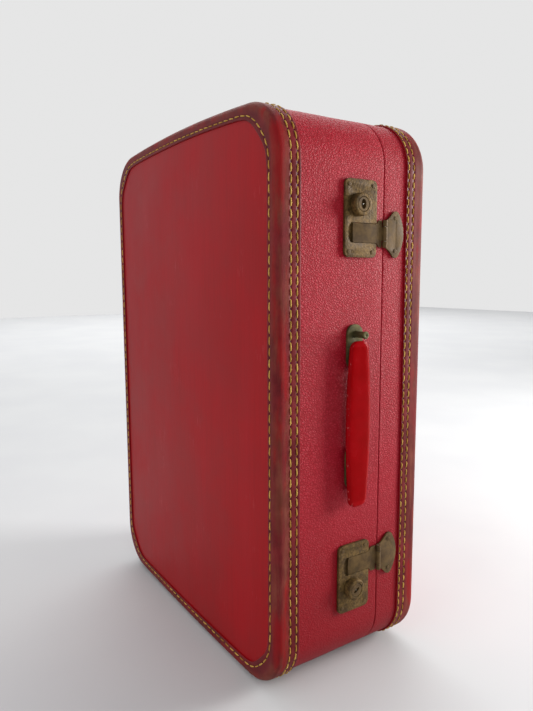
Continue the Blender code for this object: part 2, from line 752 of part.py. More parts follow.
def keyhole_outline(prefix):
    """A pointed oval: two arcs that meet at the top and the bottom."""
    half_width, half_length = KEYHOLE_HALF_WIDTH[prefix], KEYHOLE_HALF_LENGTH[prefix]
    steps = 5
    right = []
    for step in range(steps):
        along = 2 * step / steps - 1
        right.append((half_width * (1 - along * along), half_length * along))
    return right + [(-x, -y) for x, y in right]


def key_plug(lock, parent):
    """Turning plug with a pointed oval keyhole round a small pin."""
    plug = piece(lock.prefix + "_key_plug", rod(PLUG_RADIUS, PLUG_FLOOR + GAP, PLUG_TOP, 28), "brass",
                 parent, button_place(lock))
    turn = button_place(lock) @ Matrix.Rotation(math.radians(KEYHOLE_TURN[lock.prefix]), 4, "Z")
    loops = [keyhole_outline(lock.prefix), circle(KEYHOLE_PIN, steps=8)]
    hole = slab(loops, PLUG_TOP - KEYHOLE_DEPTH, PLUG_TOP + 0.002)
    combine(plug, tool(lock.prefix + "_keyhole", hole, parent, turn), "DIFFERENCE")


def lock_spring(lock, body):
    """Zigzag wire spring between the bolt's back and the end of its pocket."""
    curve = bpy.data.curves.new("spring", "CURVE")
    curve.dimensions = "3D"
    curve.bevel_depth = SPRING_WIRE
    curve.bevel_resolution = 1
    curve.use_fill_caps = True
    spline = curve.splines.new("POLY")
    count = SPRING_WAVES * 4
    spline.points.add(count)
    start, end = BOLT_BACK + 2 * SPRING_WIRE, SPRING_END - SPRING_WIRE
    for number, point in enumerate(spline.points):
        along = start + (end - start) * number / count
        across = SPRING_HALF_WIDTH * math.sin(math.tau * SPRING_WAVES * number / count)
        point.co = (lock.button_x + across, lock.sign * along, 0, 1)
    mesh = evaluated_mesh(bpy.data.objects.new("spring", curve))
    middle = -FITTING_OUT - BOLT_POCKET_DEPTH / 2
    place = Matrix.Translation((0, middle, lock.middle_z)) @ OUTWARD
    piece(lock.prefix + "_lock_spring", mesh, "steel", body, place)


def hasp_outline(lock):
    """Half of the hasp seen from the front: u from its pin along the strap, v the half height."""
    knuckle, neck, strap = HASP_MIDDLE_KNUCKLE / 2, HASP_NECK_WIDTH / 2, HASP_STRAP_WIDTH / 2
    round_tip = 0.0010
    neck_end = HASP_NECK_END[lock.prefix]
    return [(-0.0040, knuckle), (HASP_NECK_START, knuckle), (HASP_NECK_START, neck),
            (neck_end - HASP_NECK_FLARE / 2, neck), (neck_end, neck - 0.0008),
            (neck_end + HASP_NECK_FLARE / 2, strap + 0.0006), (neck_end + HASP_NECK_FLARE, strap),
            (HASP_REACH - round_tip, strap), (HASP_REACH, strap - round_tip)]


def keeper_outline():
    """Half of the fishtail keeper: a straight neck, a flare, a rounded tip, a bowed outer edge."""
    tip_along, tip_across = KEEPER_TIP
    tip = []
    for angle in (130, 109, 88, 67, 46, 25):
        turn = math.radians(angle)
        tip.append((tip_along + KEEPER_TIP_RADIUS * math.cos(turn),
                    tip_across + KEEPER_TIP_RADIUS * math.sin(turn)))
    edge = []
    steps = 4
    for step in range(1, steps):
        across = 1 - step / steps
        bow = (KEEPER_REACH - tip[-1][0]) * (1 - across * across)
        edge.append((tip[-1][0] + bow, tip[-1][1] * across))
    return [(-0.0040, KEEPER_FLARE[0][1])] + list(KEEPER_FLARE) + tip + edge + [(KEEPER_REACH, 0)]


def mirrored_outline(half_outline):
    """Both halves of an outline that is symmetric about its u axis."""
    lower = [(u, -v) for u, v in reversed(half_outline) if v > 0]
    return half_outline + lower


def pinned_plate(lock, name, parent, direction, plate, reach, half_outline, height):
    """A plate with a barrel on the hasp's pin, trimmed to its outline."""
    faces = tuple(face - HASP_AXIS_OUT for face in plate)
    section = leaf_section(HASP_BARREL, HASP_BORE, faces, reach)
    axis_y = -FITTING_OUT - HASP_AXIS_OUT
    section = mapped(section, (HASP_AXIS_X, axis_y), direction, -1)
    half = height / 2 + 0.002
    item = piece(name, slab(section, lock.strap_z - half, lock.strap_z + half), "brass", parent)
    outline = mapped([mirrored_outline(half_outline)], (HASP_AXIS_X, lock.strap_z), direction, 1)
    trim = slab(outline, FITTING_OUT - 0.01, FITTING_OUT + 0.02)
    combine(item, tool(name + "_trim", trim, parent, OUTWARD), "INTERSECT")
    return item


def keeper(lock, lid):
    name = lock.prefix + "_hasp_keeper"
    item = pinned_plate(lock, name, lid, 1, KEEPER_PLATE, KEEPER_REACH + 0.002, keeper_outline(),
                        KEEPER_HEIGHT)
    middle = (HASP_MIDDLE_KNUCKLE + KNUCKLE_GAP * 2) / 2
    notch = block((HASP_AXIS_X - 0.0045, -FITTING_OUT - 0.012, lock.strap_z - middle),
                  (HASP_AXIS_X + 0.0029, -FITTING_OUT + 0.004, lock.strap_z + middle))
    combine(item, tool(name + "_notch", notch, lid), "DIFFERENCE")
    drill = [Matrix.Translation((x, -FITTING_OUT, z)) @ OUTWARD for x, z in lock.keeper_spots()]
    holes = copies(rod(NAIL_HOLE, -0.004, 0.006, 10), drill)
    combine(item, tool(name + "_holes", holes, lid), "DIFFERENCE")


def hasp(lock, lid, parent):
    pinned_plate(lock, lock.prefix + "_hasp", parent, -1, HASP_PLATE, HASP_REACH + 0.002,
                 hasp_outline(lock), HASP_NECK_WIDTH)
    half = HASP_NECK_WIDTH / 2
    place = Matrix.Translation((HASP_AXIS_X, -FITTING_OUT - HASP_AXIS_OUT, lock.strap_z))
    piece(lock.prefix + "_hasp_pin", rod(HASP_PIN, -half, half, 12), "steel", lid, place)


def build_lock(lock, body, lid):
    axis = (HASP_AXIS_X, -FITTING_OUT - HASP_AXIS_OUT, lock.strap_z)
    hasp_pivot = pivot(lock.prefix + "_hasp_pivot", axis)
    button_pivot = pivot(lock.prefix + "_button_pivot", button_place(lock).to_translation())
    key_pivot = pivot(lock.prefix + "_key_pivot", button_place(lock).to_translation())
    lock_plate(lock, body)
    lock_spring(lock, body)
    lock_bolt(lock, button_pivot)
    lock_button(lock, button_pivot)
    key_plug(lock, key_pivot)
    keeper(lock, lid)
    hasp(lock, lid, hasp_pivot)


def locks(body, lid):
    for lock in (Lock("upper", 1), Lock("lower", -1)):
        build_lock(lock, body, lid)
        nails(lock.prefix + "_lock", body, LOCK_PLATE_THICKNESS,
              -FITTING_OUT - LOCK_PLATE_THICKNESS, lock.nail_spots())
        nails(lock.prefix + "_keeper", lid, KEEPER_PLATE[1],
              -FITTING_OUT - KEEPER_PLATE[1], lock.keeper_spots())


# ---- handle -------------------------------------------------------------------------------
def handle_plate(prefix, body, sign):
    middle = HANDLE_Z + sign * HANDLE_PLATE_SPACING
    outline = rounded_rectangle(HANDLE_PLATE_WIDTH / 2, HANDLE_PLATE_HEIGHT / 2, HANDLE_PLATE_RADIUS, 5,
                                (0, middle))
    loops = [outline, circle(POST_BORE, (0, middle + sign * POST_OFFSET), 16)]
    mesh = slab(loops, FITTING_OUT, FITTING_OUT + HANDLE_PLATE_THICKNESS)
    piece(prefix + "_handle_plate", mesh, "brass", body, OUTWARD)


def post_height(sign):
    return HANDLE_Z + sign * (HANDLE_PLATE_SPACING + POST_OFFSET)


def post(prefix, parent, sign, drawn_out):
    """A headed post through the wall; drawn_out is its head's distance from the wall."""
    inner_face = WIDTH / 2 - LINING_INSET - LINING_THICKNESS - 2 * GAP - BUSH_FLANGE
    length = WALL_OUT + POST_OUT - inner_face
    neck = -POST_HEAD_THICKNESS
    tail = RETAINER_THICKNESS + 0.0020
    stem = [(0, 0), (POST_HEAD_RADIUS - 0.0005, 0), (POST_HEAD_RADIUS, -0.0004), (POST_HEAD_RADIUS, neck),
            (POST_RADIUS, neck), (POST_RADIUS, -length - GAP), (POST_TAIL_RADIUS, -length - GAP),
            (POST_TAIL_RADIUS, -length - tail), (0, -length - tail)]
    place = Matrix.Translation((0, -WALL_OUT - drawn_out, post_height(sign))) @ OUTWARD
    piece(prefix + "_handle_post", turned(stem, 20), "brass", parent, place)
    washer = [(RETAINER_BORE, -length - 2 * GAP), (RETAINER_RADIUS, -length - 2 * GAP),
              (RETAINER_RADIUS, -length - 2 * GAP - RETAINER_THICKNESS),
              (RETAINER_BORE, -length - 2 * GAP - RETAINER_THICKNESS)]
    piece(prefix + "_post_retainer", turned(washer, 20, closed=True), "steel", parent, place)


def post_bush(prefix, body, sign, skins):
    """Flanged tube that lines the post's hole through cover, board and lining."""
    inside = WIDTH / 2 - LINING_INSET - LINING_THICKNESS - GAP
    span = WALL_OUT - inside
    profile = [(POST_BORE, 0), (BUSH_RADIUS, 0), (BUSH_RADIUS, -span), (BUSH_FLANGE_RADIUS, -span),
               (BUSH_FLANGE_RADIUS, -span - BUSH_FLANGE), (POST_BORE, -span - BUSH_FLANGE)]
    place = Matrix.Translation((0, -WALL_OUT, post_height(sign))) @ OUTWARD
    piece(prefix + "_post_bush", turned(profile, 20, closed=True), "steel", body, place)
    drill = tool(prefix + "_post_hole", rod(BUSH_HOLE, -0.014, 0.006), body, place)
    for skin in skins:
        combine(skin, drill, "DIFFERENCE")


def grip_outline():
    """Long oval bar: widest in the middle, with rounded ends."""
    half = GRIP_LENGTH / 2
    middle_z = GRIP_BOTTOM_Z + half
    reach = half - GRIP_END_ROUND
    swell = GRIP_MIDDLE_WIDTH - GRIP_END_WIDTH
    steps = 10
    side = []
    for step in range(steps + 1):
        z = -reach + 2 * reach * step / steps
        side.append(((GRIP_END_WIDTH + swell * (1 - (z / reach) ** 2)) / 2, z))
    corner = []
    for step in range(1, 5):
        angle = math.radians(90) * step / 4
        corner.append((GRIP_END_WIDTH / 2 - GRIP_END_ROUND * (1 - math.cos(angle)),
                       reach + GRIP_END_ROUND * math.sin(angle)))
    right = [(x, -z) for x, z in reversed(corner)] + side + corner
    left = [(-x, z) for x, z in reversed(right)]
    return [(GRIP_X + x, middle_z + z) for x, z in right + left]


def grip(parent):
    """The grip, with a T slot in its back, open at each end, for the posts' heads."""
    low = WALL_OUT + GRIP_BACK
    item = piece("handle_grip", slab([grip_outline()], low, low + GRIP_THICKNESS), "grip_plastic",
                 parent, OUTWARD)
    bevel(item, GRIP_EDGE, 2)
    top_z = GRIP_BOTTOM_Z + GRIP_LENGTH
    beyond = 0.004
    ends = (("lower", GRIP_BOTTOM_Z - beyond, GRIP_BOTTOM_Z + GRIP_SLOT_LENGTH),
            ("upper", top_z - GRIP_SLOT_LENGTH, top_z + beyond))
    for prefix, start_z, end_z in ends:
        neck = block((-GRIP_NECK_HALF, -low - GRIP_LIP - 0.0005, start_z),
                     (GRIP_NECK_HALF, -low + beyond, end_z))
        head = block((-GRIP_HEAD_HALF, -low - GRIP_SLOT_DEPTH, start_z),
                     (GRIP_HEAD_HALF, -low - GRIP_LIP, end_z + 0.0008 * (prefix == "lower")))
        combine(item, tool(f"grip_{prefix}_neck", neck, parent), "DIFFERENCE")
        combine(item, tool(f"grip_{prefix}_head", head, parent), "DIFFERENCE")


def handle(body, skins):
    upper_pivot = pivot("upper_post_pivot", (0, -WALL_OUT, post_height(1)))
    lower_pivot = pivot("lower_post_pivot", (0, -WALL_OUT, post_height(-1)))
    grip_pivot = pivot("grip_pivot", (GRIP_X, -WALL_OUT - GRIP_BACK, post_height(-1)))
    for prefix, sign in (("upper", 1), ("lower", -1)):
        handle_plate(prefix, body, sign)
        post_bush(prefix, body, sign, skins)
    post("upper", upper_pivot, 1, POST_OUT)
    post("lower", lower_pivot, -1, POST_OUT - POST_TRAVEL)
    grip(grip_pivot)


# ---- assembly -----------------------------------------------------------------------------
def build():
    body = pivot("case_frame")
    lid = pivot("lid_pivot", (SPLIT_X, HINGE_AXIS_Y, 0))
    parts = shell_half("body", body, -1, BODY_FACE_X, SPLIT_X - RIM_GAP, SPLIT_X - RIM_GAP)
    shell_half("lid", lid, 1, LID_FACE_X, SPLIT_X + RIM_GAP, LID_LINING_START_X)
    rim_rail(body)
    lid_pocket(lid)
    hinges(body, lid)
    locks(body, lid)
    handle(body, [parts["wall_cover"], parts["hoop"], parts["wall_lining"]])


clear_scene()
PARTS = new_collection("hard_shell_suitcase")
TOOLS = new_collection("cutters")
build()
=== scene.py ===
"""Finished look of the hard-shell weekender suitcase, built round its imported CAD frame."""

import bisect
import math
import random

import bmesh
import bpy
from mathutils import Matrix, Vector


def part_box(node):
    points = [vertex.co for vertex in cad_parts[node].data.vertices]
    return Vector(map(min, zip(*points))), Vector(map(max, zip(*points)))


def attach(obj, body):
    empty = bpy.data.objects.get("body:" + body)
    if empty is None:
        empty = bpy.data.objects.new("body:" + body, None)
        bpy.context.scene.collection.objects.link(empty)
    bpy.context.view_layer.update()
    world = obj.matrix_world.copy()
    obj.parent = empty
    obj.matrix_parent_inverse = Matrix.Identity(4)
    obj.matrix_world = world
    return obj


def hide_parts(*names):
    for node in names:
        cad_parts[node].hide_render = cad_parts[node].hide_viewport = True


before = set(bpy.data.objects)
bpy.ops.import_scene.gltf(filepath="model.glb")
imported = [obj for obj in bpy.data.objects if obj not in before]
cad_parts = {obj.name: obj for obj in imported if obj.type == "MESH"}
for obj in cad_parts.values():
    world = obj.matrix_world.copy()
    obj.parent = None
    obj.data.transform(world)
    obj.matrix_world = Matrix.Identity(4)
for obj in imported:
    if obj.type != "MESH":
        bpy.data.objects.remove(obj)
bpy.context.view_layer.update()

# ---- camera, at the photograph's viewing angle ----
CAMERA_PLACE = (-0.36725, -0.5857, 0.3811)
CAMERA_YAW = 33.468
CAMERA_DOWN = 7.20
CAMERA_ROLL = -0.199
CAMERA_LENS = 30.44

# ---- the case, read off the frame ----
CORNER_RADIUS = 0.050
TOP_CROWN = 0.0043
BOTTOM_CROWN = 0.0020
BINDING_LOW, BINDING_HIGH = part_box("body_binding")
CASE_Y = (BINDING_LOW.y + BINDING_HIGH.y) / 2
CASE_Z = (BINDING_LOW.z + BINDING_HIGH.z) / 2
HALF_WIDTH = (BINDING_HIGH.y - BINDING_LOW.y) / 2
HALF_HEIGHT = (BINDING_HIGH.z - BINDING_LOW.z) / 2
BODY_FACE = BINDING_LOW.x
LID_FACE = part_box("lid_binding")[1].x
BINDING_ON_WALL = BINDING_HIGH.x - BINDING_LOW.x
BODY_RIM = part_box("body_hoop")[1].x
LID_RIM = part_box("lid_hoop")[0].x
COVER_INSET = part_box("body_wall_cover")[0].y - BINDING_LOW.y
WALL_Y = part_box("body_wall_cover")[0].y

# ---- binding and stitching ----
BINDING_ON_PANEL = 0.0147
BINDING_ROUND = 0.0069
BINDING_THICKNESS = 0.0013
WALL_ROWS = {"body": (0.0148, 0.0215), "lid": (0.0163, 0.0230)}
PANEL_ROW = 0.0109
WALL_PITCH = {"body": 0.0092, "lid": 0.0080}
PANEL_PITCH = 0.0096
FLANGE_CORNER_EXTRA = 0.0061
ROW_CORNER_EXTRA = 0.0045
CORNER_RUN = 0.0150
GROOVE_DEPTH = 0.00042
GROOVE_WIDTH = 0.0010
THREAD_RADIUS = 0.00056
STITCH_SHARE = 0.86
STITCH_SIDES = 8
STITCH_RINGS = 9

COVER_THICKNESS = 0.0008

# ---- locks and handle ----
KEYHOLES = {"upper": (0.0029, 0.0043, 0), "lower": (0.0014, 0.0038, -56)}
KEYHOLE_DEPTH = 0.0034
GRIP_END_WIDTH = 0.0213
GRIP_END_ROUND = 0.0098
GRIP_SLOT_LENGTH = 0.0286
POST_HOLE_RADIUS = 0.0049

CORNER_SAMPLES = 22
STRAIGHT_SAMPLE = 0.0060


# ---- mesh helpers ----
def link(name, mesh):
    item = bpy.data.objects.new(name, mesh)
    bpy.context.scene.collection.objects.link(item)
    return item


def mesh_from(vertices, faces, name, weld=0.0):
    """A mesh with its normals outwards; points closer than weld are joined."""
    mesh = bpy.data.meshes.new(name)
    mesh.from_pydata([tuple(v) for v in vertices], [], faces)
    edit = bmesh.new()
    edit.from_mesh(mesh)
    if weld:
        bmesh.ops.remove_doubles(edit, verts=edit.verts, dist=weld)
    bmesh.ops.recalc_face_normals(edit, faces=edit.faces)
    edit.to_mesh(mesh)
    edit.free()
    mesh.shade_smooth()
    return mesh


def ring_quads(first, second, count):
    """Quads that join a closed ring of vertices to the next one."""
    return [(first + i, first + (i + 1) % count, second + (i + 1) % count, second + i) for i in range(count)]


def store(mesh, name, values):
    """A float attribute with one value for each vertex."""
    mesh.attributes.new(name, "FLOAT", "POINT").data.foreach_set("value", values)


def finish_piece(item, body, material, replaces=()):
    """Material, body and CAD nodes of a finished piece."""
    item.data.materials.clear()
    item.data.materials.append(material)
    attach(item, body)
    if replaces:
        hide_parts(*replaces)
    return item


def baked(item):
    """The object with its modifiers applied."""
    bpy.context.view_layer.update()
    graph = bpy.context.evaluated_depsgraph_get()
    mesh = bpy.data.meshes.new_from_object(item.evaluated_get(graph))
    item.modifiers.clear()
    item.data = mesh
    return item


def add_bevel(item, width, segments, angle=32):
    rounding = item.modifiers.new("rounded", "BEVEL")
    rounding.width = width
    rounding.segments = segments
    rounding.limit_method = "ANGLE"
    rounding.angle_limit = math.radians(angle)
    rounding.harden_normals = False


def subtract(item, cutters):
    """Cut meshes out of item, which is left with plain faces."""
    for number, mesh in enumerate(cutters):
        cutter = link(f"cutter_{number}", mesh)
        boolean = item.modifiers.new("cut", "BOOLEAN")
        boolean.operation = "DIFFERENCE"
        boolean.object = cutter
        baked(item)
        bpy.data.objects.remove(cutter, do_unlink=True)
    return item


def smooth_by_angle(item, degrees=35):
    item.data.shade_smooth()
    item.data.set_sharp_from_angle(angle=math.radians(degrees))


def cad_copy(node):
    """A CAD node's mesh, welded and with its flat faces whole again."""
    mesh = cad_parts[node].data.copy()
    edit = bmesh.new()
    edit.from_mesh(mesh)
    bmesh.ops.remove_doubles(edit, verts=edit.verts, dist=0.000005)
    bmesh.ops.dissolve_limit(edit, angle_limit=math.radians(0.8), verts=edit.verts, edges=edit.edges)
    edit.to_mesh(mesh)
    edit.free()
    plain = bpy.data.meshes.new(node + "_mesh")
    plain.from_pydata([tuple(v.co) for v in mesh.vertices], [], [tuple(p.vertices) for p in mesh.polygons])
    bpy.data.meshes.remove(mesh)
    return plain


def softened(node, body, material, width, segments=3):
    """The CAD node's own shape with its edges rounded."""
    item = link(node + "_finished", cad_copy(node))
    add_bevel(item, width, segments)
    baked(item)
    smooth_by_angle(item, 40)
    return finish_piece(item, body, material, [node])


def turned(name, profile, place, steps=64):
    """A (radius, height) profile turned about the local Z axis, then placed by a matrix."""
    vertices, faces = [], []
    count = len(profile)
    for step in range(steps):
        angle = math.tau * step / steps
        for radius, height in profile:
            vertices.append((radius * math.cos(angle), radius * math.sin(angle), height))
    for step in range(steps):
        faces += ring_quads(step * count, (step + 1) % steps * count, count)[:-1]
    mesh = mesh_from(vertices, faces, name, 0.000001)
    mesh.transform(place)
    item = link(name, mesh)
    smooth_by_angle(item, 38)
    return item


def oval(half_width, half_length, steps):
    """Points of an ellipse in local X and Y."""
    return [(half_width * math.cos(math.tau * i / steps), half_length * math.sin(math.tau * i / steps))
            for i in range(steps)]


def extruded(name, outline, low, high, place):
    """A closed outline in local X and Y made solid from low to high along local Z."""
    count = len(outline)
    vertices = [(u, v, low) for u, v in outline] + [(u, v, high) for u, v in outline]
    faces = [tuple(range(count))[::-1], tuple(range(count, 2 * count))]
    faces += ring_quads(0, count, count)
    mesh = mesh_from(vertices, faces, name)
    mesh.transform(place)
    return mesh


def block_mesh(low, high):
    edit = bmesh.new()
    bmesh.ops.create_cube(edit, size=1.0)
    low, high = Vector(low), Vector(high)
    edit.transform(Matrix.Translation((low + high) / 2) @ Matrix.Diagonal((*(high - low), 1.0)))
    mesh = bpy.data.meshes.new("block")
    edit.to_mesh(mesh)
    edit.free()
    return mesh


OUTWARD = Matrix.Rotation(math.radians(90), 4, "X")
INWARD_HINGE = Matrix.Rotation(math.radians(-90), 4, "X")


# ---- material helpers ----
class Shader:
    """Short calls for building a Principled material out of nodes."""

    def __init__(self, name, roughness=0.5, metallic=0.0, specular=0.5):
        self.material = bpy.data.materials.new(name)
        self.material.use_nodes = True
        self.tree = self.material.node_tree
        self.main = self.tree.nodes["Principled BSDF"]
        self.main.inputs["Roughness"].default_value = roughness
        self.main.inputs["Metallic"].default_value = metallic
        self.main.inputs["Specular IOR Level"].default_value = specular
        self.place = self.node("ShaderNodeTexCoord").outputs["Object"]

    def node(self, kind, inputs=None, **settings):
        made = self.tree.nodes.new(kind)
        for key, value in settings.items():
            setattr(made, key, value)
        for key, value in (inputs or {}).items():
            self.feed(made.inputs[key], value)
        return made

    def feed(self, socket, value):
        if isinstance(value, bpy.types.NodeSocket):
            self.tree.links.new(value, socket)
        else:
            socket.default_value = value

    def set(self, name, value):
        self.feed(self.main.inputs[name], value)

    def stretched(self, scale):
        """Object coordinates scaled along each axis."""
        return self.node("ShaderNodeMapping", {"Vector": self.place, "Scale": scale}).outputs["Vector"]

    def noise(self, scale, detail=3.0, rough=0.55, vector=None, distortion=0.0):
        made = self.node("ShaderNodeTexNoise", {"Vector": vector or self.place, "Scale": scale,
                                                "Detail": detail, "Roughness": rough,
                                                "Distortion": distortion})
        return made.outputs["Fac"]

    def cells(self, scale, feature="F1", vector=None, smoothness=0.6, output="Distance"):
        inputs = {"Vector": vector or self.place, "Scale": scale}
        if feature == "SMOOTH_F1":
            inputs["Smoothness"] = smoothness
        return self.node("ShaderNodeTexVoronoi", inputs, feature=feature).outputs[output]

    def math(self, operation, first, second=0.0, third=0.0):
        made = self.node("ShaderNodeMath", operation=operation)
        for socket, value in zip(made.inputs, (first, second, third)):
            self.feed(socket, value)
        return made.outputs[0]

    def times(self, first, second):
        return self.math("MULTIPLY", first, second)

    def band(self, value, low, high, start=0.0, end=1.0):
        """value between low and high, eased to run from start to end."""
        made = self.node("ShaderNodeMapRange", {"Value": value, "From Min": low, "From Max": high,
                                                "To Min": start, "To Max": end},
                         interpolation_type="SMOOTHSTEP")
        return made.outputs["Result"]

    def mix(self, share, first, second, blend="MIX"):
        made = self.node("ShaderNodeMix", data_type="RGBA", blend_type=blend)
        self.feed(made.inputs[0], share)
        self.feed(made.inputs[6], first)
        self.feed(made.inputs[7], second)
        return made.outputs[2]

    def attribute(self, name):
        return self.node("ShaderNodeAttribute", attribute_name=name).outputs["Fac"]

    def axis(self, letter):
        return self.node("ShaderNodeSeparateXYZ", {"Vector": self.place}).outputs[letter]

    def bump(self, height, distance, strength=1.0, under=None):
        inputs = {"Height": height, "Distance": distance, "Strength": strength}
        if under:
            inputs["Normal"] = under
        return self.node("ShaderNodeBump", inputs).outputs["Normal"]


def colour(red, green, blue):
    """A shader colour from the sRGB values 0 to 255 that a person would name."""
    def linear(value):
        value /= 255
        return value / 12.92 if value <= 0.04045 else ((value + 0.055) / 1.055) ** 2.4
    return (linear(red), linear(green), linear(blue), 1.0)


# ---- materials ----
def pebbled_vinyl():
    """Coated cloth with a pebble grain: painted shade in the wrinkles, a painted sheen on the pebble tops,
    and a plain, darker red towards the foot as painted shade.
    """
    s = Shader("pebbled_red_vinyl", specular=0.20)
    warp = s.noise(120, 2.0)
    shift = s.node("ShaderNodeVectorMath", {0: s.stretched((1.0, 1.0, 1.30)),
                                            1: s.node("ShaderNodeCombineXYZ", {
                                                "X": s.times(warp, 0.0060),
                                                "Z": s.times(warp, -0.0050)}).outputs[0]},
                   operation="ADD").outputs[0]
    edge = s.cells(390, "DISTANCE_TO_EDGE", shift)
    pebble = s.band(edge, 0.0, 0.30)
    wrinkle = s.noise(260, 3.0, 0.6, shift)
    fine = s.noise(1900, 2.0)
    height = s.math("MULTIPLY_ADD", fine, 0.20, s.math("MULTIPLY_ADD", wrinkle, 0.9, pebble))
    patch = s.noise(9, 3.0, 0.6)
    dust = s.band(s.noise(26, 4.0, 0.65), 0.35, 0.75)
    base = s.mix(s.band(patch, 0.3, 0.7), colour(150, 2, 24), colour(162, 6, 32))
    # painted sheen: the pebble tops are coloured a lighter pink, as if they were catching the light
    painted_sheen_tops = s.mix(s.times(s.band(s.times(pebble, wrinkle), 0.25, 0.62), 0.45), base,
                 colour(184, 46, 64))
    dusty = s.mix(s.times(dust, 0.08), painted_sheen_tops, colour(184, 84, 96))
    # painted shade: the valleys between the pebbles are coloured a darker red
    painted_shade_valleys = s.mix(s.times(s.band(pebble, 0.0, 0.45, 1.0, 0.0), 0.40), dusty, colour(108, 0, 12))
    # painted shade: the wall turns a plain, darker red towards the bottom
    low = s.band(s.axis("Z"), 0.04, 0.24)
    s.set("Base Color", s.mix(low, colour(132, 2, 18), painted_shade_valleys))
    s.set("Roughness", s.band(s.math("ADD", patch, s.times(pebble, -0.2)), 0.1, 0.8, 0.52, 0.66))
    s.set("Normal", s.bump(height, 0.00045, 0.50))
    return s.material


def panel_vinyl():
    """Smooth coated cloth: faint upright weave streaks, a paler cast near the top and rear that is partly
    dust and partly a painted sheen, pale scratches.
    """
    s = Shader("smooth_red_vinyl", specular=0.12)
    streaks = s.noise(1.0, 4.0, 0.6, s.stretched((30, 420, 16)))
    wide = s.noise(1.0, 2.0, 0.5, s.stretched((8, 34, 5)))
    mottled = s.noise(15, 4.0, 0.6)
    base = s.mix(s.band(mottled, 0.30, 0.70), colour(144, 0, 6), colour(156, 2, 12))
    streaked = s.mix(s.band(streaks, 0.35, 0.75, 0.0, 0.30), base, colour(118, 0, 6))
    broad = s.mix(s.band(wide, 0.40, 0.75, 0.0, 0.22), streaked, colour(164, 22, 34))
    # paler towards the top and rear: partly dust, partly a painted sheen
    height = s.band(s.axis("Z"), 0.16, 0.52)
    rear = s.band(s.axis("Y"), -0.12, 0.16)
    dust_and_sheen = s.times(height, s.math("MULTIPLY_ADD", rear, 0.6, 0.4))
    dust_and_sheen = s.times(dust_and_sheen, s.band(s.noise(7, 4.0, 0.65), 0.2, 0.8, 0.06, 0.30))
    dusted_and_sheened = s.mix(dust_and_sheen, broad, colour(150, 58, 66))
    scratch_lines = s.noise(1.0, 2.0, 0.5, s.stretched((40, 1500, 60)))
    spots = s.band(s.noise(24, 2.0), 0.58, 0.66)
    scratch = s.times(s.band(scratch_lines, 0.64, 0.70), spots)
    s.set("Base Color", s.mix(s.times(scratch, 0.45), dusted_and_sheened, colour(196, 96, 100)))
    s.set("Roughness", s.band(s.math("ADD", mottled, dust_and_sheen), 0.2, 1.2, 0.36, 0.58))
    weave = s.noise(1.0, 2.0, 0.6, s.stretched((900, 1500, 700)))
    s.set("Normal", s.bump(s.math("MULTIPLY_ADD", streaks, 0.6, weave), 0.00010, 0.38))
    return s.material


def binding_vinyl():
    """Maroon binding: worn to tan and bright red on its round edge, with needle holes painted dark as their
    shade.
    """
    s = Shader("maroon_binding", specular=0.10)
    wear = s.attribute("wear")
    fold = s.attribute("fold")
    row = s.attribute("row")
    phase = s.attribute("phase")
    long_noise = s.noise(1.0, 5.0, 0.68, s.stretched((120, 38, 17)))
    patch = s.noise(30, 5.0, 0.65)
    grain = s.cells(950, "SMOOTH_F1")
    base = s.mix(s.band(patch, 0.35, 0.70), colour(90, 22, 26), colour(118, 34, 38))
    worn_share = s.times(wear, s.band(long_noise, 0.36, 0.62))
    tan = s.mix(s.band(s.noise(55, 4.0), 0.35, 0.65), colour(126, 66, 52), colour(104, 50, 38))
    worn = s.mix(worn_share, base, tan)
    rub_noise = s.noise(1.0, 4.0, 0.6, s.stretched((60, 60, 13)))
    rubbed_share = s.times(wear, s.band(rub_noise, 0.48, 0.64))
    rubbed = s.mix(s.times(rubbed_share, 0.85), worn, colour(142, 12, 18))
    folded = s.mix(fold, rubbed, colour(132, 0, 10))
    from_hole = s.math("PINGPONG", phase, 0.5)
    hole_along = s.times(from_hole, 8.5)
    hole_across = s.times(row, 1250.0)
    reach = s.math("SQRT", s.math("ADD", s.math("POWER", hole_along, 2.0), s.math("POWER", hole_across, 2.0)))
    # painted shade: each needle hole is coloured almost black
    hole_shade = s.band(reach, 0.35, 1.00, 1.0, 0.0)
    seam = s.band(row, 0.0004, 0.0014, 0.30, 0.0)
    shaded = s.mix(seam, folded, colour(62, 12, 14))
    s.set("Base Color", s.mix(s.times(hole_shade, 0.85), shaded, colour(34, 6, 6)))
    s.set("Roughness", s.band(s.math("ADD", patch, s.times(wear, 0.5)), 0.2, 1.2, 0.38, 0.66))
    lumps = s.math("MULTIPLY_ADD", patch, 0.5, s.times(grain, 0.5))
    s.set("Normal", s.bump(s.math("SUBTRACT", lumps, s.times(hole_shade, 0.3)), 0.00022, 0.5))
    return s.material


def gold_thread():
    s = Shader("gold_thread", specular=0.12)
    shade = s.attribute("shade")
    fibre = s.noise(1500, 3.0, 0.6)
    base = s.mix(shade, colour(168, 122, 44), colour(222, 182, 92))
    s.set("Base Color", s.mix(s.band(fibre, 0.35, 0.7, 0.0, 0.45), base, colour(104, 74, 30)))
    s.set("Roughness", s.band(fibre, 0.2, 0.8, 0.50, 0.75))
    s.set("Normal", s.bump(s.noise(2400, 2.0), 0.00012, 0.6))
    return s.material


